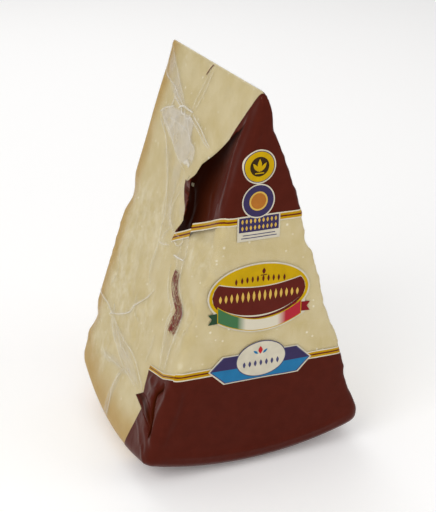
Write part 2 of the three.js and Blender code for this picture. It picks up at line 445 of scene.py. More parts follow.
# %% Broad folds
FLAT = 4        # a band with a flat top and clear borders
LEFT_FOLDS = [
    # doubled film between the top back corner and the knot
    fold([(119, 5), (109, 16), (97, 22), (84, 29)], 3.2, 0.25, 0.16, sharp=FLAT),
    # the gathered lobe under the knot, and its lower point
    fold([(104, 41), (92, 42), (82, 43), (74, 43), (66, 44)], 6.0, 0.35, 0.10, sharp=FLAT),
    fold([(96, 44), (84, 50), (73, 53), (63, 56), (56, 58)], 5.6, 0.30, 0.10, sharp=FLAT),
    fold([(84, 34), (78, 38), (72, 40)], 3.4, 0.30, 0.10, sharp=FLAT),
    # its upper left shoulder
    fold([(108, 41), (100, 38), (92, 35)], 2.2, 0.35, 0.30, sharp=FLAT),
    # long pleats that fall from the lobe
    fold([(92, 51), (79, 64), (70, 75), (65, 86), (61, 96), (60, 108)], 4.6, 0.25, 0.12, sharp=FLAT),
    fold([(62, 74), (60, 84), (57, 92), (60, 103)], 3.0, 0.25, 0.12, sharp=FLAT),
    fold([(55, 66), (60, 74), (59, 83), (54, 90), (46, 93)], 2.0, 0.30, 0.14, sharp=FLAT),
    fold([(62, 104), (63, 114), (63, 124)], 2.2, 0.25, 0.14),
    # from the knot towards the printed web
    fold([(70, 31), (57, 35), (47, 38.5), (38, 41.5)], 2.1, 0.35, 0.20, ends=0.2, sharp=FLAT),
    # the seam under the mark at the hub edge
    fold([(62, 4), (66, 18), (69, 29)], 2.6, 0.15, 0.10, sharp=FLAT),
    # the heat seal, a flat strip
    fold([(40, 96), (35, 101), (31, 106), (30, 112)], 4.4, 0.18, 0.08, ends=0.05, sharp=FLAT),
    fold([(30, 112), (28, 120), (21, 127), (20, 138), (19, 150), (16, 162)], 4.0, 0.18, 0.07,
         ends=0.05, sharp=FLAT),
    # the star's broad arm, and its lower branch
    fold([(95, 163), (88, 168), (78, 171.5), (66, 174), (54, 176), (42, 179), (32, 183)], 3.9, 0.35,
         0.10, ends=0.2, sharp=FLAT),
    fold([(84, 169), (70, 174), (56, 177)], 4.8, 0.20, 0.10, ends=0.25, sharp=FLAT),
    fold([(63, 186), (65, 197), (65, 207), (63, 217)], 2.4, 0.25, 0.10, ends=0.3, sharp=FLAT),
    fold([(96, 187), (84, 187), (70, 185), (56, 182)], 1.4, -0.55, 0.10),
    # the hollow and soft waves in the paste beneath, with a little painted shade in the hollow
    fold([(10, 116), (2, 121), (5, 130), (9, 135)], 1.3, -0.8, 0.0, 0.10),
    # the printed web beside the point: its near rim, its far rim and ripples across it; two of its creases
    # are darkened with painted shade
    fold([(9, 10), (8, 22), (10, 35), (9, 46), (7, 58), (7, 69)], 1.7, 0.85),
    fold([(3, 1), (12, 16), (21, 31), (32, 42), (40, 51), (43, 59), (50, 65)], 1.1, 0.55, 0.0,
         ends=0.03),
    fold([(16, 38), (13, 56), (10, 70)], 1.4, 0.40),
    fold([(24, 60), (17, 74)], 1.2, 0.35),
    fold([(50, 62.5), (46, 62.5), (42, 63.5)], 4.0, 1.3, sharp=2),
    fold([(51, 68), (46, 68.5), (41, 68), (37, 64)], 0.9, -0.1, 0.0, 0.8),
    fold([(44, 73), (42, 78), (42, 84)], 1.6, 0.6, sharp=2),
    fold([(42, 64), (38, 71), (36, 78), (37, 86)], 1.1, -0.7, 0.0, 0.8),
    fold([(33, 70), (32, 78), (32, 86)], 1.2, 0.5),
    # the printed web's folds at the foot of the seal; two are dark slits of painted shade
    fold([(26, 170), (20, 173), (15, 172), (13, 168)], 2.2, 0.9),
    fold([(22, 178), (18, 180), (14, 177)], 1.8, 0.6),
    fold([(12, 204), (7, 209), (4, 214)], 1.1, 0.7), fold([(27, 196), (19, 199), (12, 206)], 1.0, 0.4),
    fold([(9, 165), (8, 169), (12, 174), (11, 181), (8, 188), (5, 195)], 1.0, -1.3, 0.0, 0.9),
    fold([(26, 185), (16, 188), (9, 191), (5, 197)], 1.0, -1.0, 0.0, 0.85),
    fold([(3, 166), (2, 172), (4, 182), (4, 192), (2, 202)], 2.2, 1.1),
    fold([(14, 194), (8, 200), (4, 208)], 1.5, 0.5),
]
FRONT_FOLDS = [
    fold([(-51, 155), (-47, 160), (-49, 170), (-54, 182), (-58, 193)], 2.0, 0.9),
    fold([(-43, 157), (-43, 166), (-47, 176), (-52, 188)], 1.5, -0.45),
    fold([(-25, 72), (-27, 84), (-27, 96)], 2.6, 0.40, 0.12),
    # gentle folds down the rounded front left corner; the pale band of their milkiness is a painted
    # highlight
    fold([(-31, 98), (-35, 112), (-40, 128)], 3.0, 0.35, 0.10),
    fold([(-34, 100), (-39, 116), (-44, 136)], 1.4, 0.35, 0.10),
    fold([(-14, 12), (-19, 28), (-22, 42)], 1.6, 0.35),
    fold([(-8, 21), (-5, 23), (-2, 21)], 1.6, 0.40),
    fold([(-4, 4), (-5, 9)], 1.6, 0.50),
]
RIND_BEAD_RADIUS = 205
bead = [math.radians(-17 + 34 * k / 10) for k in range(11)]
FRONT_FOLDS.append(fold(
    [(RIND_BEAD_RADIUS * math.sin(a), RIND_BEAD_RADIUS * math.cos(a)) for a in bead], 1.5, 0.6
))
print("folds:", len(LEFT_FOLDS), "left,", len(FRONT_FOLDS), "front")

# %% [markdown]
# ### Thin creases
#
# Where a fold is pressed flat, its very edge is a bright line less than a millimetre wide, finer
# than the film's own faces. So each is a narrow strip of its own, raised along its middle.

# %% Creases of the left side
LEFT_CREASES = [    # line in mm, half width in mm, how white
    ([(120, 3), (119, 13), (115, 20), (99, 23.5), (90, 27), (81, 30)], 0.5, 0.55),
    ([(120, 3), (103, 15), (89, 23), (79, 30)], 0.4, 0.40),
    ([(99, 24), (96, 28), (97, 34)], 0.5, 0.55),
    ([(96, 28), (89, 30), (83, 31)], 0.55, 0.6),
    ([(88, 33), (82, 30), (75, 30), (68, 30)], 0.7, 0.75),
    ([(84, 31), (80, 34), (76, 33)], 0.6, 0.7),
    ([(79, 31), (75, 35), (70, 34)], 0.5, 0.65),
    ([(110, 41), (104, 37), (98, 35), (93, 33)], 0.7, 0.6),
    ([(110, 41), (105, 45), (99, 48), (92, 52), (86, 58), (79, 66), (71, 76)], 0.5, 0.45),
    ([(108, 41), (98, 44), (88, 47), (74, 55), (63, 59), (57, 61)], 0.45, 0.40),
    ([(95, 40), (82, 40), (73, 40), (64, 42), (61, 45)], 0.45, 0.45),
    ([(69, 30), (71, 36), (64, 42), (61, 45), (55, 46), (52, 50), (53, 56)], 0.5, 0.55),
    ([(80, 36), (79, 44), (78, 50)], 0.4, 0.45),
    ([(86, 36), (86, 42), (89, 45)], 0.35, 0.4),
    ([(90, 39), (84, 44), (80, 52)], 0.35, 0.35),
    ([(74, 34), (72, 40), (73, 46)], 0.4, 0.45),
    ([(73, 32), (58, 36), (48, 39), (38, 42)], 0.4, 0.50),
    ([(68, 31), (56, 34), (45, 38), (38, 41)], 0.5, 0.60),
    ([(64, 7), (68, 20), (70, 29)], 0.3, 0.34),
    ([(60, 4), (63, 18), (67, 29)], 0.3, 0.36),
    ([(75, 71), (68, 81), (64, 89), (62, 101), (62, 108), (64, 116), (64, 123), (60, 129)], 0.4, 0.36),
    ([(66, 68), (62, 76), (58, 86), (54, 92), (58, 99), (61, 106)], 0.4, 0.30),
    ([(53, 68), (58, 77), (58, 84), (54, 90), (47, 93), (39, 93)], 0.4, 0.38),
    ([(84, 58), (75, 69), (70, 79), (67, 92)], 0.35, 0.26),
    ([(62, 104), (55, 103), (49, 101)], 0.35, 0.45),
    ([(42, 104), (35, 103), (28, 102)], 0.45, 0.95),
    ([(46, 97), (40, 98), (36, 95), (37, 91)], 0.4, 0.45),
    ([(30, 89), (28, 100), (27, 107), (24, 115), (16, 121), (12.5, 128), (13.5, 140), (13, 152), (13, 163)],
     0.42, 0.42),
    ([(36, 93), (35, 102), (33, 109)], 0.35, 0.40),
    ([(41, 109), (39, 116), (33, 125), (25.5, 129), (26, 137), (24, 144), (21, 152), (18, 162)], 0.42, 0.36),
    ([(27, 123), (23.5, 127), (23, 136), (21, 146), (19, 155), (15.5, 162)], 0.32, 0.32),
    ([(124, 158), (113, 160), (101, 161), (95, 163)], 0.45, 0.60),
    ([(95, 163), (85, 159), (72, 152), (69, 147), (59, 138), (52, 129)], 0.42, 0.62),
    ([(102, 161), (97, 162), (95, 163)], 0.4, 0.5),
    ([(96, 157), (94, 160), (95, 163)], 0.4, 0.5),
    ([(99, 165), (95, 163), (90, 161)], 0.5, 0.45),
    ([(96, 164), (89, 168.5), (82, 173), (75, 175), (67, 178), (58, 181), (47, 182), (38, 183)], 0.42, 0.42),
    ([(94, 163), (84, 166), (78, 169), (70, 172), (60, 173), (50, 175)], 0.4, 0.36),
    ([(86, 165), (80, 166.5), (72, 168), (58, 169), (49, 171), (40, 175), (32, 179), (29, 182)], 0.42, 0.46),
    ([(96, 186), (87, 186), (75, 185), (62, 183), (54, 182)], 0.35, 0.34),
    ([(76, 186), (84, 188), (90, 187)], 0.3, 0.3),
    ([(62, 184), (64, 196), (63, 204), (62, 211), (61, 216)], 0.42, 0.48),
    ([(63, 186), (66, 203), (66.5, 209), (67, 216)], 0.38, 0.44),
    ([(35, 149), (35, 157), (36, 167)], 0.3, 0.26),
    ([(70, 140), (66, 148), (58, 152)], 0.3, 0.22),
    ([(108, 128), (104, 138), (107, 150)], 0.3, 0.2),
    # a small bubble of doubled film; its pale patch is a painted reflection
    ([(62, 57), (58, 55.5), (54, 57)], 1.9, 0.6),
]
print("creases:", len(LEFT_CREASES))

# %% [markdown]
# ### Folds of the sides that were wrapped last
#
# The right cut and the back have no knot, only the hairline creases that every vacuum pack has.
# They start at an edge, where the film had to turn a corner, and die away over the face. A seeded
# loop lays most of those on the right cut, and the few others are listed one by one.

# %% Hairline creases
draw = random.Random(12)


def hairlines(count, starts, v_range, length, lean):
    """Short creases that start along the border of a face and run inwards."""
    made = []
    for _ in range(count):
        u = draw.choice(starts)
        inward = 1 if u == min(starts) else -1
        v = draw.uniform(*v_range)
        reach = draw.uniform(0.4, 1.0) * length
        tilt = draw.uniform(-lean, lean)
        points = [(u + inward * reach * s, v + tilt * s + draw.uniform(-1, 1)) for s in (0, 0.5, 1)]
        made.append((points, draw.uniform(0.3, 0.5), draw.uniform(0.3, 0.6)))
    return made


RIGHT_CREASES = hairlines(11, (36, 119), (30, 200), 36, 16) + [
    ([(118, 40), (96, 50), (78, 53)], 0.5, 0.45), ([(118, 180), (94, 171), (76, 174)], 0.5, 0.5),
    ([(48, 96), (45, 122), (49, 144)], 0.45, 0.4),
]
BACK_CREASES = [
    ([(-20, 68), (-9, 77), (2, 75)], 0.35, 0.35), ([(39, 128), (25, 134), (12, 129)], 0.4, 0.4),
    ([(-45, 150), (-31, 158), (-18, 154)], 0.4, 0.4), ([(58, 192), (45, 177), (30, 171)], 0.4, 0.45),
    ([(-61, 202), (-50, 188), (-41, 171)], 0.4, 0.45), ([(9, 36), (4, 50), (5, 66)], 0.3, 0.35),
    ([(12, 204), (9, 190), (-2, 178)], 0.35, 0.4),
]


def as_folds(creases, height=0.3, width=1.3):
    """The gentle swelling of the film around each crease."""
    return [fold(points, width, height, 0.35 * white) for points, _, white in creases]


def all_folds(piece):
    """Height, milkiness and painted shade that all the folds together give each vertex of a piece."""
    found = measure(piece)
    totals = {key: np.zeros(len(found["co"])) for key in ("height", "milk", "painted_shade")}
    depth, radius, x, drop = (found[key] for key in ("depth", "radius", "x", "drop"))
    lay_folds(LEFT_FOLDS + as_folds(LEFT_CREASES), depth, radius, facing(found, LEFT_OUT, 0.35), totals)
    lay_folds(FRONT_FOLDS, x, drop, facing(found, FRONT_OUT, 0.35), totals)
    lay_folds(as_folds(RIGHT_CREASES), depth, radius, facing(found, RIGHT_OUT), totals)
    lay_folds(as_folds(BACK_CREASES), x, drop, facing(found, -FRONT_OUT), totals)
    away_from_base = ease(found["co"][:, 2] / MM, 0.2, 3)
    totals["height"] *= ease(radius, 1, 7) * away_from_base
    return found, totals


PRESSED = 1.3       # the paste lies this much deeper than the film under a hollow fold
found, totals = all_folds(cheese)
pressed = np.minimum(totals["height"], 0) * PRESSED * MM
put_back(cheese, found["co"] + found["normal"] * pressed[:, None])
found, totals = all_folds(film)
put_back(film, found["co"] + found["normal"] * (totals["height"] * MM)[:, None])
apply_modifier(
    film, "SHRINKWRAP", target=cheese, wrap_method="NEAREST_SURFACEPOINT",
    wrap_mode="OUTSIDE", offset=LEAST_FILM_GAP,
)

# the rind's lowest line rests on the floor: nothing may dip under it
for piece, room in ((cheese, 0.4 * MM), (film, 0.1 * MM)):
    resting = measure(piece)["co"]
    resting[:, 2] = np.maximum(resting[:, 2], cad_low.z + room)
    put_back(piece, resting)


def store(piece, name, values):
    """Keeps one number for each vertex, for a material to read by its name."""
    attribute = piece.data.attributes.new(name, "FLOAT", "POINT")
    attribute.data.foreach_set("value", np.asarray(values, dtype=np.float32))


print("milky vertices:", int((totals["milk"] > 0.2).sum()))


# %% [markdown]
# ### The painted shade of the hollow, and the doubled film
#
# Beside the point the printed web spans a gap and lies in shade; that shade is painted into its ink.
# On the gathered side the film lies double in flat patches, each a little milky. Both are drawn
# as outlines on the left cut and kept as a number for each vertex, which eases off over the last
# millimetre, so that no border has to be cut into the mesh.

# %% The painted shade of the hollow beside the point, and the veil of the gathered side
def inside(outline, u, v):
    """True where (u, v) lies in a closed outline."""
    hit = np.zeros(len(u), dtype=bool)
    for (au, av), (bu, bv) in zip(outline, outline[1:] + outline[:1]):
        if av == bv:
            continue
        crosses = (av > v) != (bv > v)
        hit ^= crosses & (u < (bu - au) * (v - av) / (bv - av) + au)
    return hit


# doubled film that lies flat: how milky, and its outline on the left cut
DOUBLED = (
    (0.42, ((110, 40), (105, 37), (100, 35), (92, 33.5), (82, 32.5), (74, 32.5), (66, 32.7), (63, 38),
            (62, 42.5), (57.5, 45), (54, 47.5), (52.4, 52), (53, 54.6), (57.7, 55), (61, 57.7),
            (68, 58.4), (75, 56), (81.5, 52), (90, 49.6), (101, 46))),
    (0.26, ((119, 4), (111, 9), (99.6, 15.6), (86, 25), (80, 29.7), (86, 30.8), (95, 30), (105, 26),
            (114, 21), (117, 16))),
    (0.34, ((75, 31.4), (58, 34.8), (39.4, 40.4), (42.5, 41.4), (55.6, 38), (70.5, 34.7))),
    (0.20, ((75, 56.7), (73, 65), (70.7, 75), (65.6, 83.7), (58, 94), (52.5, 92), (59, 81.4), (61.3, 74),
            (62, 64), (63, 59))),
    (0.16, ((59, 62), (51, 68), (44, 73.5), (41.7, 80), (44, 86), (50, 84.6), (53, 76.6), (58.5, 68))),
    (0.22, ((97, 162), (84, 165), (67, 168), (52, 172), (38, 178.5), (32, 182.5), (50, 181), (67.5, 178),
            (82.7, 175), (93, 167))),
    (0.16, ((102, 190.6), (84.6, 189), (65, 185.7), (51.6, 184), (38, 185), (50, 178), (64, 180),
            (84, 183))),
    (0.20, ((59, 181), (60, 190), (61.7, 200), (62, 216), (67, 216), (67, 205), (64.3, 192), (63, 184))),
    (0.14, ((38, 90), (34, 108.5), (29, 128), (23, 140.5), (16, 161), (11, 158.6), (16, 140), (19, 127),
            (25.8, 106), (31, 88))),
)


def filled(outline, u, v, feather):
    """1 inside a closed outline, easing to 0 over a narrow border."""
    gap, _ = distance_to(list(outline) + [outline[0]], u, v)
    signed = np.where(inside(list(outline), u, v), gap, -gap)
    return ease(signed, -0.4 * feather, feather)


NEAR_RIM = ((9, 10), (8, 22), (10, 35), (9, 46), (7, 58), (7, 69), (7, 84))
HOLLOW = ((8, 19), (21, 30.5), (40, 50), (43, 57), (45, 63), (44, 72), (41, 79), (46, 92), (7, 84), (9, 46))
# painted shade: darkest at the far edge of the hollow, easing off towards its near rim; the shaded creases
# add theirs
from_rim, _ = distance_to(NEAR_RIM, found["depth"], found["radius"])
to_far_edge, _ = distance_to(HOLLOW[:8], found["depth"], found["radius"])
hollow = ease(from_rim / (from_rim + to_far_edge + 0.01), 0.0, 0.85)
hollow *= inside(list(HOLLOW), found["depth"], found["radius"])
on_left = facing(found, LEFT_OUT, 0.35)
hollow = np.maximum(hollow * on_left, totals["painted_shade"])
veils = [milk * filled(outline, found["depth"], found["radius"], 1.2) for milk, outline in DOUBLED]
SIDE_HAZE = 0.03    # the whole gathered side is a little milky
store(film, "milk", np.maximum(totals["milk"], sum(veils) * on_left) + SIDE_HAZE * on_left)
store(film, "hollow", hollow)
# the paste itself lies deeper there, so that it never touches the web
HOLLOW_DROP = 2.2 * MM
under = measure(cheese)
sunk = filled(HOLLOW, under["depth"], under["radius"], 4) * facing(under, LEFT_OUT, 0.35)
put_back(cheese, under["co"] - under["normal"] * (sunk * HOLLOW_DROP)[:, None])
print("vertices in the hollow:", int((hollow > 0.5).sum()))

# %% [markdown]
# ## Cheese, made to look like cheese
#
# The paste is straw-coloured, a little uneven, with short pale streaks where it was torn and
# white crystals that grow as it ages. Towards the rind it dries out and turns golden, and the
# rind is a hard, oiled gold. A number stored in the mesh says how far in from the rind each
# point lies, so that the colour can follow it.

# %% Distance to the rind
found = measure(cheese)
to_side = rind_radius(found["depth"] * MM) / MM - found["radius"]
to_flat = DEPTH / MM - found["depth"]
# it dries further in from the round side than from the flat face
store(cheese, "to_rind", np.clip(np.minimum(to_side, 1.7 * to_flat), 0, 60))
outer = np.maximum(facing(found, -FRONT_OUT, 0.5), ease(-to_side, -2.5, -0.5))
store(cheese, "rind", outer)
on_left, on_right = facing(found, LEFT_OUT), facing(found, RIGHT_OUT)
crumbly = np.clip(sum(1.6 * oval(found, *patch) for patch in CRUMBLY), 0, 1) * on_left
store(cheese, "broken", np.clip(crumbly + on_right, 0, 1))
print("points on the rind:", int((outer > 0.5).sum()))


# %% A material of our own
def new_material(name):
    made = bpy.data.materials.new(name)
    made.use_nodes = True
    made.node_tree.nodes.clear()
    return made, made.node_tree


def patchy(tree, place, size, low, high, least=0.0, most=1.0, detail=3.0, roughness=0.5):
    """A number that comes in patches of a real size: noise from low to high becomes least to most."""
    noise = node(tree, "ShaderNodeTexNoise", {
        "Vector": place, "Scale": 1 / size, "Detail": detail, "Roughness": roughness,
    })
    return node(tree, "ShaderNodeMapRange", {
        "Value": noise.outputs["Fac"], "From Min": low, "From Max": high, "To Min": least, "To Max": most,
    }).outputs["Result"]


def wear(piece, *materials):
    """Puts materials on a piece, in the order of their face numbers, and shades it smooth."""
    piece.data.materials.clear()
    for material in materials:
        piece.data.materials.append(material)
    piece.data.polygons.foreach_set("use_smooth", [True] * len(piece.data.polygons))


# Aged hard cheese: a dense, slightly fatty paste. Matt, finely grained, warm straw in colour.
PASTE, PASTE_DEEP, PASTE_PALE = "#CEBE92", "#C2AF7A", "#E0D6B8"
DRY_PASTE, RIND_GOLD = "#B39047", "#AC7E2C"
RIND_STRAW, RIND_WORN, RIND_DEEP = "#BC9450", "#C9AC72", "#94692F"
CRYSTAL = "#F1EBDB"

cheese_finish, tree = new_material("aged hard cheese")
place = node(tree, "ShaderNodeTexCoord").outputs["Object"]
mottle = patchy(tree, place, 13 * MM, 0.32, 0.68, detail=4.0)
colour = node(tree, "ShaderNodeMix", {0: mottle, 6: linear(PASTE_DEEP), 7: linear(PASTE)},
              data_type="RGBA").outputs[2]
# pale streaks, 2 mm wide and several times as long, where the paste was pulled apart
drawn_out = node(tree, "ShaderNodeMapping", {
    "Vector": place, "Rotation": (0.25, 0.35, 0), "Scale": (1, 1, 0.22),
}).outputs["Vector"]
broken = node(tree, "ShaderNodeAttribute", attribute_name="broken").outputs["Fac"]
streaky = node(tree, "ShaderNodeMapRange", {
    "Value": broken, "To Min": 0.12, "To Max": 0.34,
}).outputs["Result"]
streaks = patchy(tree, drawn_out, 2.1 * MM, 0.50, 0.78, most=streaky, roughness=0.6)
layers = [(streaks, linear(PASTE_PALE))]    # each is laid over the ones before: its share and colour
# where it split, chalky patches about 11 mm across lie between darker ones
for low, high, tint, most in ((0.50, 0.68, PASTE_PALE, 0.52), (0.46, 0.36, PASTE_DEEP, 0.65)):
    share = patchy(tree, place, 11 * MM, low, high, most=most, detail=7.0, roughness=0.7)
    share = node(tree, "ShaderNodeMath", {0: share, 1: broken}, operation="MULTIPLY").outputs[0]
    layers.append((share, linear(tint)))
# white crystals, 1 to 2 mm across, and larger pale patches, 3 to 5 mm across, in some of the cells
for cell, rarity, largest, feather, strength, tint in (
    (3.6, 0.45, 0.26, 0.14, 0.62, CRYSTAL), (15, 0.35, 0.17, 0.10, 0.40, PASTE_PALE),
):
    cells = node(tree, "ShaderNodeTexVoronoi", {"Vector": place, "Scale": 1 / (cell * MM)})
    chance = node(tree, "ShaderNodeSeparateColor", {"Color": cells.outputs["Color"]})
    size_of = node(tree, "ShaderNodeMapRange", {
        "Value": chance.outputs["Red"], "From Min": rarity, "From Max": 1.0, "To Max": largest,
    }).outputs["Result"]
    dots = node(tree, "ShaderNodeMath", {0: size_of, 1: cells.outputs["Distance"]},
                operation="SUBTRACT").outputs[0]
    dots = node(tree, "ShaderNodeMapRange", {
        "Value": dots, "From Min": 0.0, "From Max": feather, "To Max": strength,
    }).outputs["Result"]
    layers.append((dots, linear(tint)))
# drier and more golden towards the rind, with an uneven front
to_rind = node(tree, "ShaderNodeAttribute", attribute_name="to_rind").outputs["Fac"]
uneven = node(tree, "ShaderNodeTexNoise", {"Vector": place, "Scale": 1 / (20 * MM), "Detail": 5.0})
uneven = node(tree, "ShaderNodeMath", {0: uneven.outputs["Fac"], 1: 16.0, 2: -8.0},
              operation="MULTIPLY_ADD").outputs[0]
uneven = node(tree, "ShaderNodeMath", {0: to_rind, 1: uneven}, operation="ADD").outputs[0]
dryness = node(tree, "ShaderNodeMapRange", {
    "Value": uneven, "From Min": 5.0, "From Max": 27.0, "To Min": 1.0, "To Max": 0.0,
}, interpolation_type="SMOOTHSTEP").outputs["Result"]
at_edge = node(tree, "ShaderNodeMapRange", {
    "Value": to_rind, "From Min": 0.5, "From Max": 5.0, "To Min": 0.85, "To Max": 0.0,
}).outputs["Result"]
layers += [(dryness, linear(DRY_PASTE)), (at_edge, linear(RIND_GOLD))]
# the rind itself: oiled, worn pale where it was brushed, with a fine net of darker pores
rind_colour = linear(RIND_STRAW)
for size, rough, low, high, tint, most in (
    (28, 0.65, 0.46, 0.66, RIND_WORN, 0.8), (28, 0.65, 0.48, 0.30, RIND_DEEP, 0.6),
    (2.4, 0.7, 0.46, 0.32, RIND_DEEP, 0.7),
):
    share = patchy(tree, place, size * MM, low, high, most=most, detail=6.0, roughness=rough)
    rind_colour = node(tree, "ShaderNodeMix", {0: share, 6: rind_colour, 7: linear(tint)},
                       data_type="RGBA").outputs[2]
on_rind = node(tree, "ShaderNodeAttribute", attribute_name="rind").outputs["Fac"]
layers.append((on_rind, rind_colour))
for share, tint in layers:
    colour = node(tree, "ShaderNodeMix", {0: share, 6: colour, 7: tint}, data_type="RGBA").outputs[2]
grit = node(tree, "ShaderNodeTexNoise", {"Vector": place, "Scale": 1 / (0.8 * MM), "Detail": 3.0})
bump = node(tree, "ShaderNodeBump", {
    "Height": grit.outputs["Fac"], "Strength": 0.5, "Distance": 0.25 * MM,
})
paste = node(tree, "ShaderNodeBsdfPrincipled", {
    "Base Color": colour, "Roughness": 0.62, "IOR": 1.45, "Normal": bump.outputs["Normal"],
})
node(tree, "ShaderNodeOutputMaterial", {"Surface": paste.outputs["BSDF"]})
wear(cheese, cheese_finish)
print("materials so far:", [m.name for m in bpy.data.materials])

# %% [markdown]
# ## The print
#
# The web was printed before it was drawn over the cheese, so the ink follows the film. Its
# edges have to be crisp, so the film is cut along them, as a knife would, and each face gets
# one ink. On the left the web was pulled out of true, so its stripes run downhill there.

# %% Where the stripes and the edges of the web run
STRIPE = ((0.42, "maroon"), (1.65, "yellow"), (2.3, "white"))   # half widths in mm, from the middle out
UPPER_FRONT = ((-60, 65.8), (60, 67.5))     # x and drop, in mm
LOWER_FRONT = ((-75, 150.1), (75, 153.6))
UPPER_LEFT = ((0.8, 69.7), (31, 84))         # depth and radius, in mm
UPPER_LEFT_FLAP = ((31, 87), (48, 96))
LOWER_LEFT = ((0.8, 158.3), (12, 163), (30, 166.5))
LOWER_LEFT_WIDTH = 0.7                      # the stripe is pressed narrower here
UPPER_EDGE = (
    (3, -4), (3, 0), (12, 16), (21, 31), (31, 41.5), (40, 51), (43, 58), (46.5, 62.5),
    (50.5, 64.5), (54, 64), (53.5, 67), (51.5, 70), (48.5, 73.5), (45, 77),
    (42.6, 80), (42, 83), (43.5, 86), (47, 91), (49, 98),
)
LOWER_EDGE = ((30, 162), (30, 167), (29, 177), (28, 181), (23, 186), (32, 216), (32.5, 222))
UPPER_RIGHT_DEPTH, LOWER_RIGHT_DEPTH, BASE_DEPTH = 28, 31, 32.5
LEFT_TURN = 31              # the depth at which the upper left stripe changes its run
BETWEEN_WEBS = 125          # a radius of the clear part, between the two printed fields


def left_point(depth, radius):
    return at(radius * MM, depth * MM, -HALF_ANGLE)


def right_point(depth, radius):
    return at(radius * MM, depth * MM, HALF_ANGLE)


def front_point(x, drop):
    return Vector((HUB_X + x * MM, FRONT_Y, HUB_Z - drop * MM))


# %% Cut the film along a line
def cut(piece, start, end, out, offsets=(0.0,), margin=0.7 * MM):
    """Splits the faces that a line crosses, where they face the way of out. With offsets, also
    along lines beside it. All other faces are hidden, so that the bisect leaves them whole."""
    along = (end - start).normalized()
    across = along.cross(out).normalized()
    reach = max(abs(o) for o in offsets) * MM + 1.7 * MM
    piece.update_from_editmode()
    gap = vectors(piece.data.polygons, "center") - np.array(start)
    run = gap @ np.array(along)
    near = np.abs(gap @ np.array(across)) < reach
    near &= (run > -margin) & (run < (end - start).length + margin)
    near &= vectors(piece.data.polygons, "normal") @ np.array(out) > 0.45
    if not near.any():
        return
    mesh = bmesh.from_edit_mesh(piece.data)
    mesh.faces.ensure_lookup_table()
    bpy.ops.mesh.select_all(action="DESELECT")
    for index in np.flatnonzero(near):
        mesh.faces[index].select = True
    bmesh.update_edit_mesh(piece.data)
    bpy.ops.mesh.hide(unselected=True)
    for offset in offsets:
        bpy.ops.mesh.select_all(action="SELECT")
        bpy.ops.mesh.bisect(plane_co=start + across * offset * MM, plane_no=across)
    bpy.ops.mesh.reveal(select=False)


def cut_along(piece, points, place_of, out, offsets=(0.0,)):
    for a, b in zip(points, points[1:]):
        cut(piece, place_of(*a), place_of(*b), out, offsets)


def meets_right_cut(line):
    """The radius at which a line of the front, of (x, drop) points, reaches the right cut."""
    (au, av), (bu, bv) = line
    slope = (bv - av) / (bu - au)
    return (av - slope * au) / (1 / math.tan(HALF_ANGLE) - slope) / math.sin(HALF_ANGLE)


edges_of_inks = [side * half_width for half_width, _ in STRIPE for side in (-1, 1)]
activate(film)
bpy.ops.object.mode_set(mode="EDIT")
bpy.ops.mesh.select_mode(type="FACE")
for line, right_end in ((UPPER_FRONT, UPPER_RIGHT_DEPTH), (LOWER_FRONT, LOWER_RIGHT_DEPTH)):
    cut_along(film, line, front_point, FRONT_OUT, edges_of_inks)
    radius = meets_right_cut(line)
    cut_along(film, [(-2, radius), (right_end + 1, radius)], right_point, RIGHT_OUT, edges_of_inks)
cut_along(film, UPPER_LEFT, left_point, LEFT_OUT, edges_of_inks)
cut_along(film, UPPER_LEFT_FLAP, left_point, LEFT_OUT, edges_of_inks)
cut_along(film, LOWER_LEFT, left_point, LEFT_OUT, [o * LOWER_LEFT_WIDTH for o in edges_of_inks])
for line in ([(LEFT_TURN, 74), (LEFT_TURN, 92)], UPPER_EDGE, LOWER_EDGE):
    cut_along(film, line, left_point, LEFT_OUT)
cut_along(film, [(UPPER_RIGHT_DEPTH, -4), (UPPER_RIGHT_DEPTH, 80)], right_point, RIGHT_OUT)
cut_along(film, [(LOWER_RIGHT_DEPTH, 150), (LOWER_RIGHT_DEPTH, 222)], right_point, RIGHT_OUT)
base_left, base_right = (at(RIND_RADIUS, BASE_DEPTH * MM, a * HALF_ANGLE) for a in (-1.1, 1.1))
cut(film, base_left, base_right, Vector((0, 0, -1)))
bpy.ops.object.mode_set(mode="OBJECT")
print("film after cutting:", len(film.data.polygons), "faces")

# %% [markdown]
# ### Which face gets which ink
#
# Each face lies either on the left cut, where the edges of the web are the lines above, or on
# the front, the right cut and the rind, where one plane carries each stripe round the corner.


# %% Give each face its ink
INKS = ("clear", "brown", "yellow", "white", "maroon")


def beside(line, u, v):
    """Signed distance to a line of points: positive on the side of larger v."""
    best, signed = np.full(len(u), 1e9), np.zeros(len(u))
    for k, ((au, av), (bu, bv)) in enumerate(zip(line, line[1:])):
        length = math.hypot(bu - au, bv - av)
        share = ((u - au) * (bu - au) + (v - av) * (bv - av)) / length ** 2
        low = -9 if k == 0 else 0
        high = 9 if k == len(line) - 2 else 1
        share = np.clip(share, low, high)
        gap = np.hypot(u - au - share * (bu - au), v - av - share * (bv - av))
        side = np.sign((bu - au) * (v - av) - (bv - av) * (u - au))
        nearer = gap < best
        signed = np.where(nearer, side * gap, signed)
        best = np.where(nearer, gap, best)
    return signed


def striped(ink, offset, brown_side, width=1.0):
    """Adds a stripe and the brown field beside it. Offset is from the middle of the stripe."""
    ink = np.where(offset * brown_side > 0, INKS.index("brown"), ink)
    for half_width, name in reversed(STRIPE):
        ink = np.where(np.abs(offset) < half_width * width, INKS.index(name), ink)
    return ink


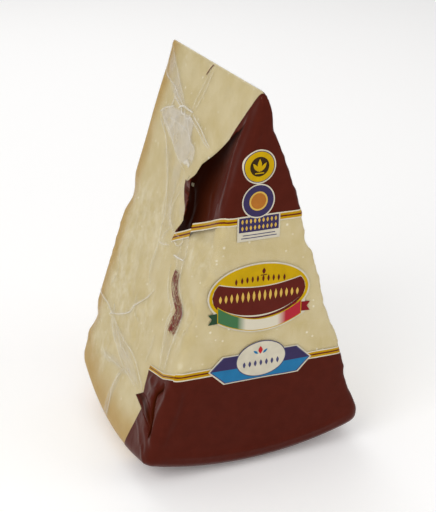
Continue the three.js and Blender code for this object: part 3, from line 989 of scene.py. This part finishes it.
def ink_of_faces(piece):
    centre, normal = vectors(piece.data.polygons, "center"), vectors(piece.data.polygons, "normal")
    x, drop = (centre[:, 0] - HUB_X) / MM, (HUB_Z - centre[:, 2]) / MM
    depth, radius = (centre[:, 1] - FRONT_Y) / MM, np.hypot(x, drop)
    none = np.zeros(len(centre), dtype=int)

    # the front, the right cut and the rind
    is_right = normal @ np.array(RIGHT_OUT) > np.maximum(0.6, -normal[:, 1])
    upper, lower = (np.where(is_right, radius - meets_right_cut(line), beside(line, x, drop))
                    for line in (UPPER_FRONT, LOWER_FRONT))
    at_top, to_right = upper < 10, normal[:, 0] > 0.4
    ahead = np.where(at_top, striped(none, upper, -1), striped(none, lower, 1))
    bare = at_top & (depth > UPPER_RIGHT_DEPTH)
    bare |= ~at_top & (depth > np.where(to_right, LOWER_RIGHT_DEPTH, BASE_DEPTH))
    ahead = np.where(bare, 0, ahead)

    # the left cut
    first, second = beside(UPPER_LEFT, depth, radius), beside(UPPER_LEFT_FLAP, depth, radius)
    offset = np.where(depth < LEFT_TURN, first, second)
    upper_web = list(UPPER_EDGE) + [(52, 110), (-9, 110), (-9, -4)]
    upper_left = np.where(inside(upper_web, depth, radius), striped(none, offset, -1), 0)
    offset = beside(LOWER_LEFT, depth, radius)
    lower_web = list(LOWER_EDGE) + [(32.5, 240), (-9, 240), (-9, 150), (28, 150)]
    lower_left = striped(none, offset, 1, LOWER_LEFT_WIDTH)
    lower_left = np.where(inside(lower_web, depth, radius), lower_left, 0)
    left = np.where(radius < BETWEEN_WEBS, upper_left, lower_left)

    is_left = normal @ np.array(LEFT_OUT) > np.maximum(0.6, -normal[:, 1])
    is_left |= (radius < 3.5) & (normal[:, 2] > 0.5) & (depth > 3)
    ink = np.where(is_left, left, ahead)
    return np.where(normal[:, 1] > 0.6, 0, ink)


ink = ink_of_faces(film)
hollow = np.empty(len(film.data.vertices), dtype=np.float32)
film.data.attributes["hollow"].data.foreach_get("value", hollow)
film.data.polygons.foreach_set("material_index", ink.astype(np.int32))
for number, name in enumerate(INKS):
    print(name, int((ink == number).sum()), "faces")

# %% [markdown]
# ### Film and ink, as materials
#
# The film is a clear laminate: mirror-like at a glancing angle, almost nothing face on, and
# milky where it is creased. The ink is printed on its inner side, so it has the film's gloss.
# Both carry the same small wrinkles.

# %% Film and ink
FILM_HAZE, FOLD_WHITE = "#CFC6A6", "#DCD6CC"


def film_wrinkles(tree, strength):
    """The small wrinkles that film and ink share: soft waves 9 mm apart and fine ones 1.5 mm apart."""
    place = node(tree, "ShaderNodeTexCoord").outputs["Object"]
    waves = node(tree, "ShaderNodeTexNoise", {"Vector": place, "Scale": 1 / (9 * MM), "Detail": 2.0})
    fine = node(tree, "ShaderNodeTexNoise", {"Vector": place, "Scale": 1 / (1.5 * MM), "Detail": 3.0})
    height = node(tree, "ShaderNodeMath", {0: fine.outputs["Fac"], 1: 0.08, 2: waves.outputs["Fac"]},
                  operation="MULTIPLY_ADD").outputs[0]
    bump = node(tree, "ShaderNodeBump", {"Height": height, "Strength": strength, "Distance": 0.8 * MM})
    return place, bump.outputs["Normal"]


# Clear PA/PE vacuum film, 0.1 mm thick, heat-shrunk: glossy, faintly hazy, white where creased.
clear_finish, tree = new_material("clear vacuum film")
place, wrinkled = film_wrinkles(tree, 0.5)
milk = node(tree, "ShaderNodeAttribute", attribute_name="milk").outputs["Fac"]
feather = patchy(tree, place, 8 * MM, 0.3, 0.7, 0.65, 1.15, detail=2.0)
milk = node(tree, "ShaderNodeMath", {0: milk, 1: feather}, operation="MULTIPLY").outputs[0]
cloudy = patchy(tree, place, 16 * MM, 0.45, 0.7, most=0.05)
milk = node(tree, "ShaderNodeMath", {0: milk, 1: cloudy}, operation="ADD", use_clamp=True).outputs[0]
through = node(tree, "ShaderNodeBsdfTransparent", {"Color": (0.97, 0.97, 0.965, 1)})
whiteness = node(tree, "ShaderNodeMath", {0: milk, 1: 3.0}, operation="MULTIPLY", use_clamp=True).outputs[0]
haze_colour = node(tree, "ShaderNodeMix", {0: whiteness, 6: linear(FILM_HAZE), 7: linear(FOLD_WHITE)},
                   data_type="RGBA").outputs[2]
haze = node(tree, "ShaderNodeBsdfDiffuse", {"Color": haze_colour, "Normal": wrinkled})
body = node(tree, "ShaderNodeMixShader", {0: milk, 1: through.outputs[0], 2: haze.outputs[0]})
gloss = node(tree, "ShaderNodeBsdfGlossy", {"Color": (1, 1, 1, 1), "Roughness": 0.16, "Normal": wrinkled})
# the share that mirrors: 2% face on, a third at a glancing angle, alike from both sides
grazing = node(tree, "ShaderNodeLayerWeight", {"Blend": 0.5, "Normal": wrinkled}).outputs["Facing"]
grazing = node(tree, "ShaderNodeMath", {0: grazing, 1: 5.0}, operation="POWER").outputs[0]
mirror = node(tree, "ShaderNodeMath", {0: grazing, 1: 0.30, 2: 0.022}, operation="MULTIPLY_ADD").outputs[0]
skin = node(tree, "ShaderNodeMixShader", {0: mirror, 1: body.outputs[0], 2: gloss.outputs[0]})
node(tree, "ShaderNodeOutputMaterial", {"Surface": skin.outputs[0]})


INK_GLOSS, INK_ROUGHNESS = 0.16, 0.28      # low: the ink lies behind the film, not on it


def ink_finish(name, hex_colour, shade_colours=(), gloss=INK_GLOSS, tint="#FFB79C"):
    """Solvent ink on the inner side of the film: dense, even, with the film's gloss."""
    made, tree = new_material(name)
    place, wrinkled = film_wrinkles(tree, 0.5)
    level = patchy(tree, place, 6 * MM, 0.3, 0.7, 0.90, 1.06, detail=4.0)
    colour = node(tree, "ShaderNodeMix", {0: 1.0, 6: linear(hex_colour), 7: level},
                  data_type="RGBA", blend_type="MULTIPLY").outputs[2]
    # painted shade: the ink darkens towards the shade colours where the stored hollow shade is high
    if shade_colours:
        hollow = node(tree, "ShaderNodeAttribute", attribute_name="hollow").outputs["Fac"]
        for start, deep in zip((0.0, 0.5), shade_colours):
            share = node(tree, "ShaderNodeMapRange", {
                "Value": hollow, "From Min": start, "From Max": start + 0.5,
            }).outputs["Result"]
            colour = node(tree, "ShaderNodeMix", {0: share, 6: colour, 7: linear(deep)},
                          data_type="RGBA").outputs[2]
    printed = node(tree, "ShaderNodeBsdfPrincipled", {
        "Base Color": colour, "Roughness": INK_ROUGHNESS, "IOR": 1.45, "Specular IOR Level": gloss,
        "Specular Tint": linear(tint), "Normal": wrinkled,
    })
    node(tree, "ShaderNodeOutputMaterial", {"Surface": printed.outputs["BSDF"]})
    return made


# the two hollow colours are painted shade, not colours of the ink
BROWN, HOLLOW_SHADE_BROWN, HOLLOW_SHADE_BLACK = "#4C1D15", "#3E1404", "#180400"
brown = ink_finish("brown ink under film", BROWN, (HOLLOW_SHADE_BROWN, HOLLOW_SHADE_BLACK), 0.08, "#FF8C6E")
# where the web spans the hollow its shade is painted into the ink, and the ink has almost no gloss
brown_in_shade = ink_finish("brown ink over a hollow", BROWN, (HOLLOW_SHADE_BROWN, HOLLOW_SHADE_BLACK), 0.01, "#FF8C6E")
yellow = ink_finish("yellow ink under film", "#B68C06")
white = ink_finish("white ink under film", "#CFC8B4")
maroon = ink_finish("maroon ink under film", "#5E1D17")
wear(film, clear_finish, brown, yellow, white, maroon, brown_in_shade)
OVER_HOLLOW_SHADE = 0.08      # a brown face with more painted shade than this takes the glossless shaded ink
shade_of = np.array([max(hollow[v] for v in face.vertices) for face in film.data.polygons])
ink = np.where((ink == INKS.index("brown")) & (shade_of > OVER_HOLLOW_SHADE), len(INKS), ink)
film.data.polygons.foreach_set("material_index", ink.astype(np.int32))


# %% [markdown]
# ## Thin things that lie on the film
#
# Creases, badges and flaps are all thin sheets between two lines, laid on the film. One function
# fills the space between two lines with small faces. Another drops a sheet onto the film along
# the direction that its face of the wedge looks, as if it were pressed on with a flat hand.

# %% Sheets laid on the film
film_tree = BVHTree.FromPolygons(
    [v.co for v in film.data.vertices], [p.vertices[:] for p in film.data.polygons]
)


def sheet_between(line_a, line_b, rows=2):
    """Fills the space between two lines of as many (u, v) points with small faces."""
    columns = len(line_a) - 1
    deselect_all()
    bpy.ops.mesh.primitive_grid_add(x_subdivisions=columns, y_subdivisions=rows, size=1)
    sheet = bpy.context.object
    for vertex in sheet.data.vertices:
        k, share = round((vertex.co.x + 0.5) * columns), vertex.co.y + 0.5
        (au, av), (bu, bv) = line_a[k], line_b[k]
        vertex.co = (au + share * (bu - au), av + share * (bv - av), share)
    return sheet


def lay_on(sheet, place_of, out, height_of):
    """Drops a flat sheet, drawn in mm, onto the film. height_of gives the height in mm for each
    share of the way from the sheet's first line to its second."""
    shares = [vertex.co.z for vertex in sheet.data.vertices]
    for vertex, share in zip(sheet.data.vertices, shares):
        start = place_of(vertex.co.x, vertex.co.y)
        hit, _, _, _ = film_tree.ray_cast(start + out * 12 * MM, -out)
        vertex.co = (hit or start) + out * height_of(share) * MM
    sheet.data.update()
    faces = sheet.data.polygons
    if sum(f.normal.dot(out) * f.area for f in faces) < 0:
        sheet.data.flip_normals()
    return shares


def join_as(name, pieces):
    deselect_all()
    for piece in pieces:
        piece.select_set(True)
    bpy.context.view_layer.objects.active = pieces[0]
    if len(pieces) > 1:
        bpy.ops.object.join()
    whole = bpy.context.view_layer.objects.active
    whole.name = name
    return whole


def beside_line(points, width_at):
    """The two lines that run beside a line of points, at half widths from it."""
    left, right = [], []
    last = len(points) - 1
    for k, (u, v) in enumerate(points):
        (au, av), (bu, bv) = points[max(0, k - 1)], points[min(last, k + 1)]
        length = math.hypot(bu - au, bv - av) or 1
        du, dv = -(bv - av) / length, (bu - au) / length
        w = width_at(k / last)
        left.append((u + du * w, v + dv * w))
        right.append((u - du * w, v - dv * w))
    return left, right


# %% Lay the creases
def crease_strips(creases, place_of, out):
    made = []
    for points, half_width, white in creases:
        line = curved(points, 1.2)
        left, right = beside_line(line, lambda s: half_width * (0.25 + 0.75 * min(1, 6 * s, 6 * (1 - s))))
        strip = sheet_between(left, right, rows=4)
        shares = lay_on(strip, place_of, out, lambda share: 0.04 + 0.22 * math.sin(math.pi * share))
        store(strip, "milk", [white * math.sin(math.pi * share) ** 0.8 for share in shares])
        made.append(strip)
    return made


strips = crease_strips(LEFT_CREASES, left_point, LEFT_OUT)
strips += crease_strips(RIGHT_CREASES, right_point, RIGHT_OUT)
strips += crease_strips(
    BACK_CREASES, lambda x, drop: front_point(x, drop) + Vector((0, DEPTH, 0)), -FRONT_OUT
)
creases = join_as("film_creases", strips)

# A folded edge of the same clear film: several layers, so it scatters light and looks white.
crease_finish, tree = new_material("folded edge of clear film")
place, wrinkled = film_wrinkles(tree, 0.3)
milk = node(tree, "ShaderNodeAttribute", attribute_name="milk").outputs["Fac"]
broken = patchy(tree, place, 3.0 * MM, 0.3, 0.62, 0.6, 1.05)
milk = node(tree, "ShaderNodeMath", {0: milk, 1: broken}, operation="MULTIPLY", use_clamp=True).outputs[0]
through = node(tree, "ShaderNodeBsdfTransparent", {"Color": (1, 1, 1, 1)})
edge = node(tree, "ShaderNodeBsdfPrincipled", {
    "Base Color": linear("#E9E5DC"), "Roughness": 0.25, "IOR": 1.45, "Normal": wrinkled,
})
both = node(tree, "ShaderNodeMixShader", {0: milk, 1: through.outputs[0], 2: edge.outputs["BSDF"]})
node(tree, "ShaderNodeOutputMaterial", {"Surface": both.outputs[0]})
wear(creases, crease_finish)
print("creases:", len(creases.data.polygons), "faces")

# %% [markdown]
# ### Badges
#
# A pack of this kind carries a badge or two, an oval with a ribbon and a long plaque. Ours are
# plain: rings, bars, lenses and fields of colour. Each is drawn flat in mm, as x and drop below
# the hub line, and laid on the front. Where parts overlap, they lie 0.04 mm apart.

# %% Shapes to print
BADGE_HEIGHT, LAYER_STEP = 0.18, 0.04       # mm above the film, and from layer to layer


def ring_line(x, drop, radius, flat=1.0, tilt=0.0, count=96):
    """A closed line round a centre: a circle or an ellipse."""
    line = []
    for k in range(count + 1):
        a = 2 * math.pi * k / count
        du, dv = radius * math.cos(a), radius * flat * math.sin(a)
        line.append((x + du * math.cos(tilt) - dv * math.sin(tilt),
                     drop + du * math.sin(tilt) + dv * math.cos(tilt)))
    return line


def ring(ink, outer, inner, layer=0):
    return ink, outer, inner, 4, layer


def disc(ink, outer, layer=0, rows=8):
    u, v = (sum(p[i] for p in outer[:-1]) / (len(outer) - 1) for i in (0, 1))
    return ink, outer, [(u, v)] * len(outer), rows, layer


def lens(ink, x, drop, length, width, lean=0.0, layer=2):
    """A plain lens shape, as a grain is: pointed at both ends. Lean 0 stands upright."""
    line = [(x + length / 2 * s * math.sin(lean), drop - length / 2 * s * math.cos(lean))
            for s in (k / 5 - 1 for k in range(11))]
    return (ink, *beside_line(line, lambda s: width / 2 * math.sin(math.pi * s) + 0.01), 1, layer)


def bar(ink, x0, x1, top, bottom, layer=2, slope=0.0):
    xs = [x0 + (x1 - x0) * k / 12 for k in range(13)]
    return ink, [(x, top + slope * x) for x in xs], [(x, bottom + slope * x) for x in xs], 3, layer


def row_of_lenses(ink, xs, drop, length, width, slope=0.0, layer=2):
    return [lens(ink, x, drop + slope * x, length, width, layer=layer) for x in xs]


def spaced(low, high, count):
    return [low + (high - low) * k / (count - 1) for k in range(count)]


# %% The round badge, the blue badge and its panel
LINE_SLOPE = 0.014      # the print runs a little downhill to the right
ROUND, BLUE = (-2.9, 38), (-3, 56.5)        # the middles of the two badges
round_badge = [
    ring("pale", ring_line(*ROUND, 9.2), ring_line(*ROUND, 8.5)),
    ring("navy", ring_line(*ROUND, 8.5), ring_line(*ROUND, 8.1)),
    ring("gold", ring_line(*ROUND, 8.1), ring_line(*ROUND, 5.3)),
    disc("soot", ring_line(*ROUND, 5.3)),
    lens("gold", -2.9, 37.4, 7.2, 2.4), lens("gold", -5.0, 38.3, 5.6, 1.9, lean=-0.6),
    lens("gold", -0.8, 38.3, 5.6, 1.9, lean=0.6), bar("gold", -5.4, -0.4, 41.2, 41.8),
]
blue_badge = [
    bar("pale", -14.6, 9.8, 64.2, 78.0, layer=0, slope=LINE_SLOPE),
    bar("navy", -13.7, 9.0, 65.0, 73.0, layer=1, slope=LINE_SLOPE),
    ring("pale", ring_line(*BLUE, 9.3), ring_line(*BLUE, 8.6), 2),
    disc("navy", ring_line(*BLUE, 8.6), 2),
    disc("tan", ring_line(*BLUE, 5.2), 3),
    ring("honey", ring_line(*BLUE, 5.2), ring_line(*BLUE, 4.3), 4),
]
for drop in (67.1, 70.8):
    blue_badge += row_of_lenses("honey", spaced(-11.8, 7.2, 9), drop, 2.7, 1.25, LINE_SLOPE)
blue_badge += [bar("slate", -11.5, 7, 74.5, 74.95, slope=LINE_SLOPE),
               bar("slate", -12.5, 8, 76.1, 76.55, slope=LINE_SLOPE)]

# %% The oval and its ribbon
OVAL_X, OVAL_DROP, OVAL_TILT = -1, 108.5, math.radians(2.7)


def in_oval(a, b):
    """A point given along and across the tilted oval, as x and drop."""
    return (OVAL_X + a * math.cos(OVAL_TILT) - b * math.sin(OVAL_TILT),
            OVAL_DROP + a * math.sin(OVAL_TILT) + b * math.cos(OVAL_TILT))


def oval_line(half_length, half_height):
    return ring_line(OVAL_X, OVAL_DROP, half_length, half_height / half_length, OVAL_TILT)


def across_oval(ink, top, bottom, rows, layer=0, half=27.2, low=-1.0, high=1.0):
    """A field between two curves that cross the oval from left to right."""
    xs = [half * (low + (high - low) * k / 60) for k in range(61)]
    return ink, [in_oval(a, top(a)) for a in xs], [in_oval(a, bottom(a)) for a in xs], rows, layer


def rim(a):
    return 15 * math.sqrt(max(0, 1 - (a / 27.2) ** 2))


def divide(a):
    """Where the yellow cap ends: a curve that sags in the middle, and never leaves the oval."""
    return max(-rim(a), -3.6 - 0.0062 * a * a)


def ribbon_top(x):
    return 124.2 - 0.0148 * (x - 2) ** 2


def ribbon_bottom(x):
    return 130.4 - 0.0118 * (x - 2) ** 2


def along_x(ink, x0, x1, top, bottom, layer, rows=3, count=30):
    xs = spaced(x0, x1, count)
    return ink, [(x, top(x)) for x in xs], [(x, bottom(x)) for x in xs], rows, layer


oval_badge = [
    along_x("pale", -27.5, 26.5, lambda x: ribbon_top(x) - 1, lambda x: ribbon_bottom(x) + 1.3, 0),
    disc("pale", oval_line(30, 17.4), 0, rows=18),
    ring("gold", oval_line(29, 16.5), oval_line(27.2, 15), 1),
    across_oval("gold", lambda a: -rim(a), lambda a: divide(a) - 0.25, 8, 1),
    across_oval("pale", lambda a: divide(a) - 0.25, lambda a: divide(a) + 0.25, 1, 1),
    across_oval("maroon", lambda a: divide(a) + 0.25, rim, 14, 1),
    # a slim pale crescent that follows the lower right rim
    across_oval("pale", lambda a: rim(a) - 2.1, lambda a: rim(a) - 2.1 + 0.9 * math.cos(a / 17.5) ** 2,
                1, 2, low=-0.72, high=0.88),
    # ribbon: tails first, then the band
    ("deep green", [(-30.5, 116.6), (-21, 116.6)], [(-28.3, 119.6), (-23, 119.6)], 2, 2),
    ("deep green", [(-28.3, 119.6), (-22, 119.6)], [(-30.5, 122.6), (-23, 122.6)], 2, 2),
    ("deep red", [(19, 117.8), (29.5, 118.6)], [(20, 121), (27.6, 121.2)], 2, 2),
    ("deep red", [(20, 121), (27.6, 121.2)], [(21, 123.6), (29.5, 124)], 2, 2),
    along_x("gold", -25.2, 24.2, lambda x: ribbon_top(x) - 0.45, lambda x: ribbon_bottom(x) + 0.45, 3),
    along_x("tricolour", -24.8, 23.8, ribbon_top, ribbon_bottom, 4),
    lens("maroon", 1.2, 96.2, 3.6, 1.9, layer=3), bar("maroon", -0.6, 3.0, 98.2, 98.7, layer=3),
]
oval_badge += [lens("maroon", *in_oval(a, -8.2 + 0.0035 * a * a), 3.8, 1.3, layer=3)
               for a in (-14, -10.6, -7.6, -4.6, -1.6, 1.6, 4.6, 7.6, 10.6, 14)]
oval_badge += [lens("honey", *in_oval(a, 1.6), 6.4 - 0.004 * a * a, 1.55, layer=3)
               for a in spaced(-22.5, 22.5, 15)]

# %% The plaque
PLAQUE = ((-30, 151), (-22, 143), (23, 144), (32, 153), (24, 161), (-21, 160))
PLAQUE_MIDDLE, PLAQUE_OVAL = (1, 152), (1, 148.2)


def plaque_lines(scale_x, scale_y, count=40):
    """The plaque's upper and lower border, drawn in towards its middle."""
    left, top_left, top_right, right, low_right, low_left = [
        (PLAQUE_MIDDLE[0] + (x - PLAQUE_MIDDLE[0]) * scale_x,
         PLAQUE_MIDDLE[1] + (v - PLAQUE_MIDDLE[1]) * scale_y) for x, v in PLAQUE
    ]

    def border(path):
        (x0, v0), (x1, v1), (x2, v2), (x3, v3) = path
        return lambda x: float(np.interp(x, (x0, x1, x2, x3), (v0, v1, v2, v3)))

    xs = sorted(spaced(left[0], right[0], count) + [top_left[0], top_right[0], low_left[0], low_right[0]])
    upper = border((left, top_left, top_right, right))
    lower = border((left, low_left, low_right, right))
    middle = [left[1] + (right[1] - left[1]) * (x - left[0]) / (right[0] - left[0]) for x in xs]
    return ([(x, upper(x)) for x in xs], list(zip(xs, middle)), [(x, lower(x)) for x in xs])


whole, outline, fields = (plaque_lines(*scales) for scales in ((1, 1), (0.968, 0.93), (0.945, 0.88)))
plaque = [
    ("pale", whole[0], whole[2], 5, 0), ("slate", outline[0], outline[2], 5, 1),
    ("navy", fields[0], fields[1], 3, 2), ("sky", fields[1], fields[2], 3, 2),
    disc("slate", ring_line(*PLAQUE_OVAL, 14.9, flat=0.72), 3),
    disc("pale", ring_line(*PLAQUE_OVAL, 14.4, flat=0.71), 4),
    lens("red", 0.6, 142.9, 4.6, 2.6, layer=5), lens("sky", -2.2, 143.9, 3.6, 1.4, lean=-0.9, layer=5),
    lens("sky", 3.4, 143.9, 3.6, 1.4, lean=0.9, layer=5),
] + row_of_lenses("slate", spaced(-9, 11, 7), 150.6, 3.8, 1.6, LINE_SLOPE, layer=5)
print("badge parts:", len(round_badge), len(blue_badge), len(oval_badge), len(plaque))

# %% Lay the badges on the film
BADGE_INKS = {
    "pale": ("pale grey ink", "#C9C2AE"), "navy": ("navy ink", "#332F55"), "gold": ("gold ink", "#BE9A08"),
    "soot": ("soot brown ink", "#2E2413"), "tan": ("tan ink", "#A9692A"), "honey": ("honey ink", "#CDA850"),
    "slate": ("slate blue ink", "#45466A"), "maroon": ("plum brown ink", "#571C16"),
    "deep green": ("deep green ink", "#23452F"), "deep red": ("deep red ink", "#7E1420"),
    "sky": ("sky blue ink", "#1C6E9C"), "red": ("red ink", "#B4262A"),
}
finishes = {key: ink_finish(name, colour) for key, (name, colour) in BADGE_INKS.items()}

# the ribbon's three inks run into one another, so they are one material that follows x
tricolour, tree = new_material("three inks of the ribbon")
place, wrinkled = film_wrinkles(tree, 0.5)
along = node(tree, "ShaderNodeSeparateXYZ", {"Vector": place}).outputs["X"]
GREEN, WHITE, RED = "#3C6A42", "#CFC7B2", "#A8202E"
to_white = node(tree, "ShaderNodeMapRange", {
    "Value": along, "From Min": HUB_X - 13.5 * MM, "From Max": HUB_X - 8.5 * MM,
}).outputs["Result"]
to_red = node(tree, "ShaderNodeMapRange", {
    "Value": along, "From Min": HUB_X + 10 * MM, "From Max": HUB_X + 15 * MM,
}).outputs["Result"]
band = node(tree, "ShaderNodeMix", {0: to_white, 6: linear(GREEN), 7: linear(WHITE)},
            data_type="RGBA").outputs[2]
band = node(tree, "ShaderNodeMix", {0: to_red, 6: band, 7: linear(RED)}, data_type="RGBA").outputs[2]
printed = node(tree, "ShaderNodeBsdfPrincipled", {
    "Base Color": band, "Roughness": INK_ROUGHNESS, "IOR": 1.45, "Specular IOR Level": INK_GLOSS,
    "Normal": wrinkled,
})
node(tree, "ShaderNodeOutputMaterial", {"Surface": printed.outputs["BSDF"]})
finishes["tricolour"] = tricolour


def lay_badge(name, parts):
    sheets = []
    for ink_name, line_a, line_b, rows, layer in parts:
        sheet = sheet_between(line_a, line_b, rows)
        lay_on(sheet, front_point, FRONT_OUT, lambda share: BADGE_HEIGHT + LAYER_STEP * layer)
        wear(sheet, finishes[ink_name])
        sheets.append(sheet)
    badge = join_as(name, sheets)
    activate(badge)
    bpy.ops.object.mode_set(mode="EDIT")
    bpy.ops.mesh.select_all(action="SELECT")
    bpy.ops.mesh.remove_doubles(threshold=0.004 * MM)
    bpy.ops.object.mode_set(mode="OBJECT")
    print(name, len(badge.data.polygons), "faces")
    return badge


badges = [lay_badge(name, parts) for name, parts in (
    ("round_badge", round_badge), ("blue_badge", blue_badge),
    ("oval_badge", oval_badge), ("long_plaque", plaque),
)]

# %% [markdown]
# ### Rubbed strip, mark and flap
#
# A strip of red-brown print runs down the seal, rubbed by the heat jaws, so the cheese shows
# through it. A thin printed line at the hub edge tells the machine where to cut. At the foot of
# the seal the slack of the printed web lies over itself in a pointed flap. All three are sheets
# laid on the film, like the creases and the badges.

# %% Rubbed strip and cutting mark
RUBBED_LEFT = (
    (35, 109), (35.5, 116), (32, 121), (28, 124), (23.5, 127), (22.5, 130), (23.5, 137), (24, 143.5),
)
RUBBED_RIGHT = (
    (28, 108), (26.5, 113), (24, 117), (17.5, 121), (13.5, 124), (12, 128), (13.5, 134), (14, 140.5),
)


def evenly(points, count):
    """The line through the points, with a set number of points in equal steps."""
    line = curved(points, 0.5)
    return [line[round(k * (len(line) - 1) / (count - 1))] for k in range(count)]


strip = sheet_between(evenly(RUBBED_LEFT, 60), evenly(RUBBED_RIGHT, 60), rows=10)
shares = lay_on(strip, left_point, LEFT_OUT, lambda share: 0.12)
rubbed_strip = join_as("rubbed_strip", [strip])
across = np.array(shares)
drops = np.array([(HUB_Z - v.co.z) / MM for v in strip.data.vertices])
ends = ease(drops, drops.min() - 1, drops.min() + 2.5) * ease(-drops, -drops.max() - 1, -drops.max() + 4)
store(rubbed_strip, "across", across)
store(rubbed_strip, "cover", ends * ease(across, -0.03, 0.08) * ease(1 - across, -0.03, 0.08))

# Ink that heat jaws have dragged: it lies in lines along the strip, broken here and there.
rubbed, tree = new_material("rubbed red-brown ink")
place, wrinkled = film_wrinkles(tree, 0.5)
across_strip = node(tree, "ShaderNodeAttribute", attribute_name="across").outputs["Fac"]
cover = node(tree, "ShaderNodeAttribute", attribute_name="cover").outputs["Fac"]
apart = node(tree, "ShaderNodeSeparateXYZ", {"Vector": place})
dragged = node(tree, "ShaderNodeMath", {0: apart.outputs["Z"], 1: 1 / (9 * MM)},
               operation="MULTIPLY").outputs[0]
lines_at = node(tree, "ShaderNodeMath", {0: across_strip, 1: 16.0}, operation="MULTIPLY").outputs[0]
lines_at = node(tree, "ShaderNodeCombineXYZ", {"X": lines_at, "Y": dragged})
lines = node(tree, "ShaderNodeTexNoise", {
    "Vector": lines_at.outputs[0], "Scale": 1.0, "Detail": 4.0, "Roughness": 0.65,
})
lines = node(tree, "ShaderNodeMath", {0: lines.outputs["Fac"], 1: cover}, operation="MULTIPLY").outputs[0]
inked = node(tree, "ShaderNodeMapRange", {
    "Value": lines, "From Min": 0.44, "From Max": 0.50, "To Min": 0.05, "To Max": 0.97,
}).outputs["Result"]
unflecked = patchy(tree, place, 1.3 * MM, 0.55, 0.61, 1.0, 0.15, detail=2.0)
inked = node(tree, "ShaderNodeMath", {0: inked, 1: unflecked}, operation="MULTIPLY").outputs[0]
ink_body = node(tree, "ShaderNodeBsdfPrincipled", {
    "Base Color": linear("#6C2018"), "Roughness": 0.4, "IOR": 1.45, "Specular IOR Level": 0.2,
    "Normal": wrinkled,
})
bare = node(tree, "ShaderNodeBsdfTransparent", {"Color": (1, 1, 1, 1)})
both = node(tree, "ShaderNodeMixShader", {0: inked, 1: bare.outputs[0], 2: ink_body.outputs["BSDF"]})
node(tree, "ShaderNodeOutputMaterial", {"Surface": both.outputs[0]})
wear(rubbed_strip, rubbed)

mark_line = curved([(62.5, 1.2), (65, 4), (67.5, 8)], 0.8)
mark = sheet_between(*beside_line(mark_line, lambda s: 0.35), rows=1)
lay_on(mark, left_point, LEFT_OUT, lambda share: 0.10)
cutting_mark = join_as("cutting_mark", [mark])
wear(cutting_mark, maroon)

# %% Flap of the printed web
FLAP_HELD = ((28, 181), (19, 181), (13, 183), (9, 188), (5, 194))         # where it stays down
FLAP_FREE = ((33, 185), (21, 187.5), (13, 189), (7, 192), (3, 197))       # its free edge
FLAP_LIFT = 1.5     # how far the free edge stands off, in mm
flap = sheet_between(evenly(FLAP_HELD, 28), evenly(FLAP_FREE, 28), rows=8)
shares = lay_on(flap, left_point, LEFT_OUT, lambda share: 0.12 + FLAP_LIFT * share ** 1.6)
# painted shade: the flap's middle is darkened where the inside of the fold lies in shadow
store(flap, "hollow", [0.75 * (1 - abs(2 * share - 1)) for share in shares])
film_flaps = join_as("film_flaps", [flap])
apply_modifier(film_flaps, "SOLIDIFY", thickness=0.12 * MM, offset=-1)
wear(film_flaps, brown)
print("flaps:", len(film_flaps.data.polygons), "faces")

# %% [markdown]
# ## Finish
#
# The printed part of the web carries inks, not clear film, and is listed under another slot, so it
# becomes a piece of its own. Then every piece is tied to the pack.

# %% Part the printed web from the clear film
activate(film)
bpy.ops.object.mode_set(mode="EDIT")
bpy.ops.mesh.select_mode(type="FACE")
bpy.ops.mesh.select_all(action="DESELECT")
bpy.ops.object.mode_set(mode="OBJECT")
numbers = np.empty(len(film.data.polygons), dtype=np.int32)
film.data.polygons.foreach_get("material_index", numbers)
film.data.polygons.foreach_set("select", (numbers > 0).tolist())
bpy.ops.object.mode_set(mode="EDIT")
bpy.ops.mesh.separate(type="SELECTED")
bpy.ops.object.mode_set(mode="OBJECT")
printed_web = next(o for o in bpy.context.selected_objects if o is not film)
printed_web.name = "printed_film"
for piece in (film, printed_web):
    activate(piece)
    bpy.ops.object.material_slot_remove_unused()
print("clear:", len(film.data.polygons), "printed:", len(printed_web.data.polygons), "faces")

# %% Tie every piece to the pack
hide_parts("wrapped_wedge")
slots = {"cheese": [cheese], "film": [film, creases],
         "print": [printed_web, rubbed_strip, cutting_mark, film_flaps] + badges}
for slot, pieces in slots.items():
    for piece in pieces:
        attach(piece, "root")
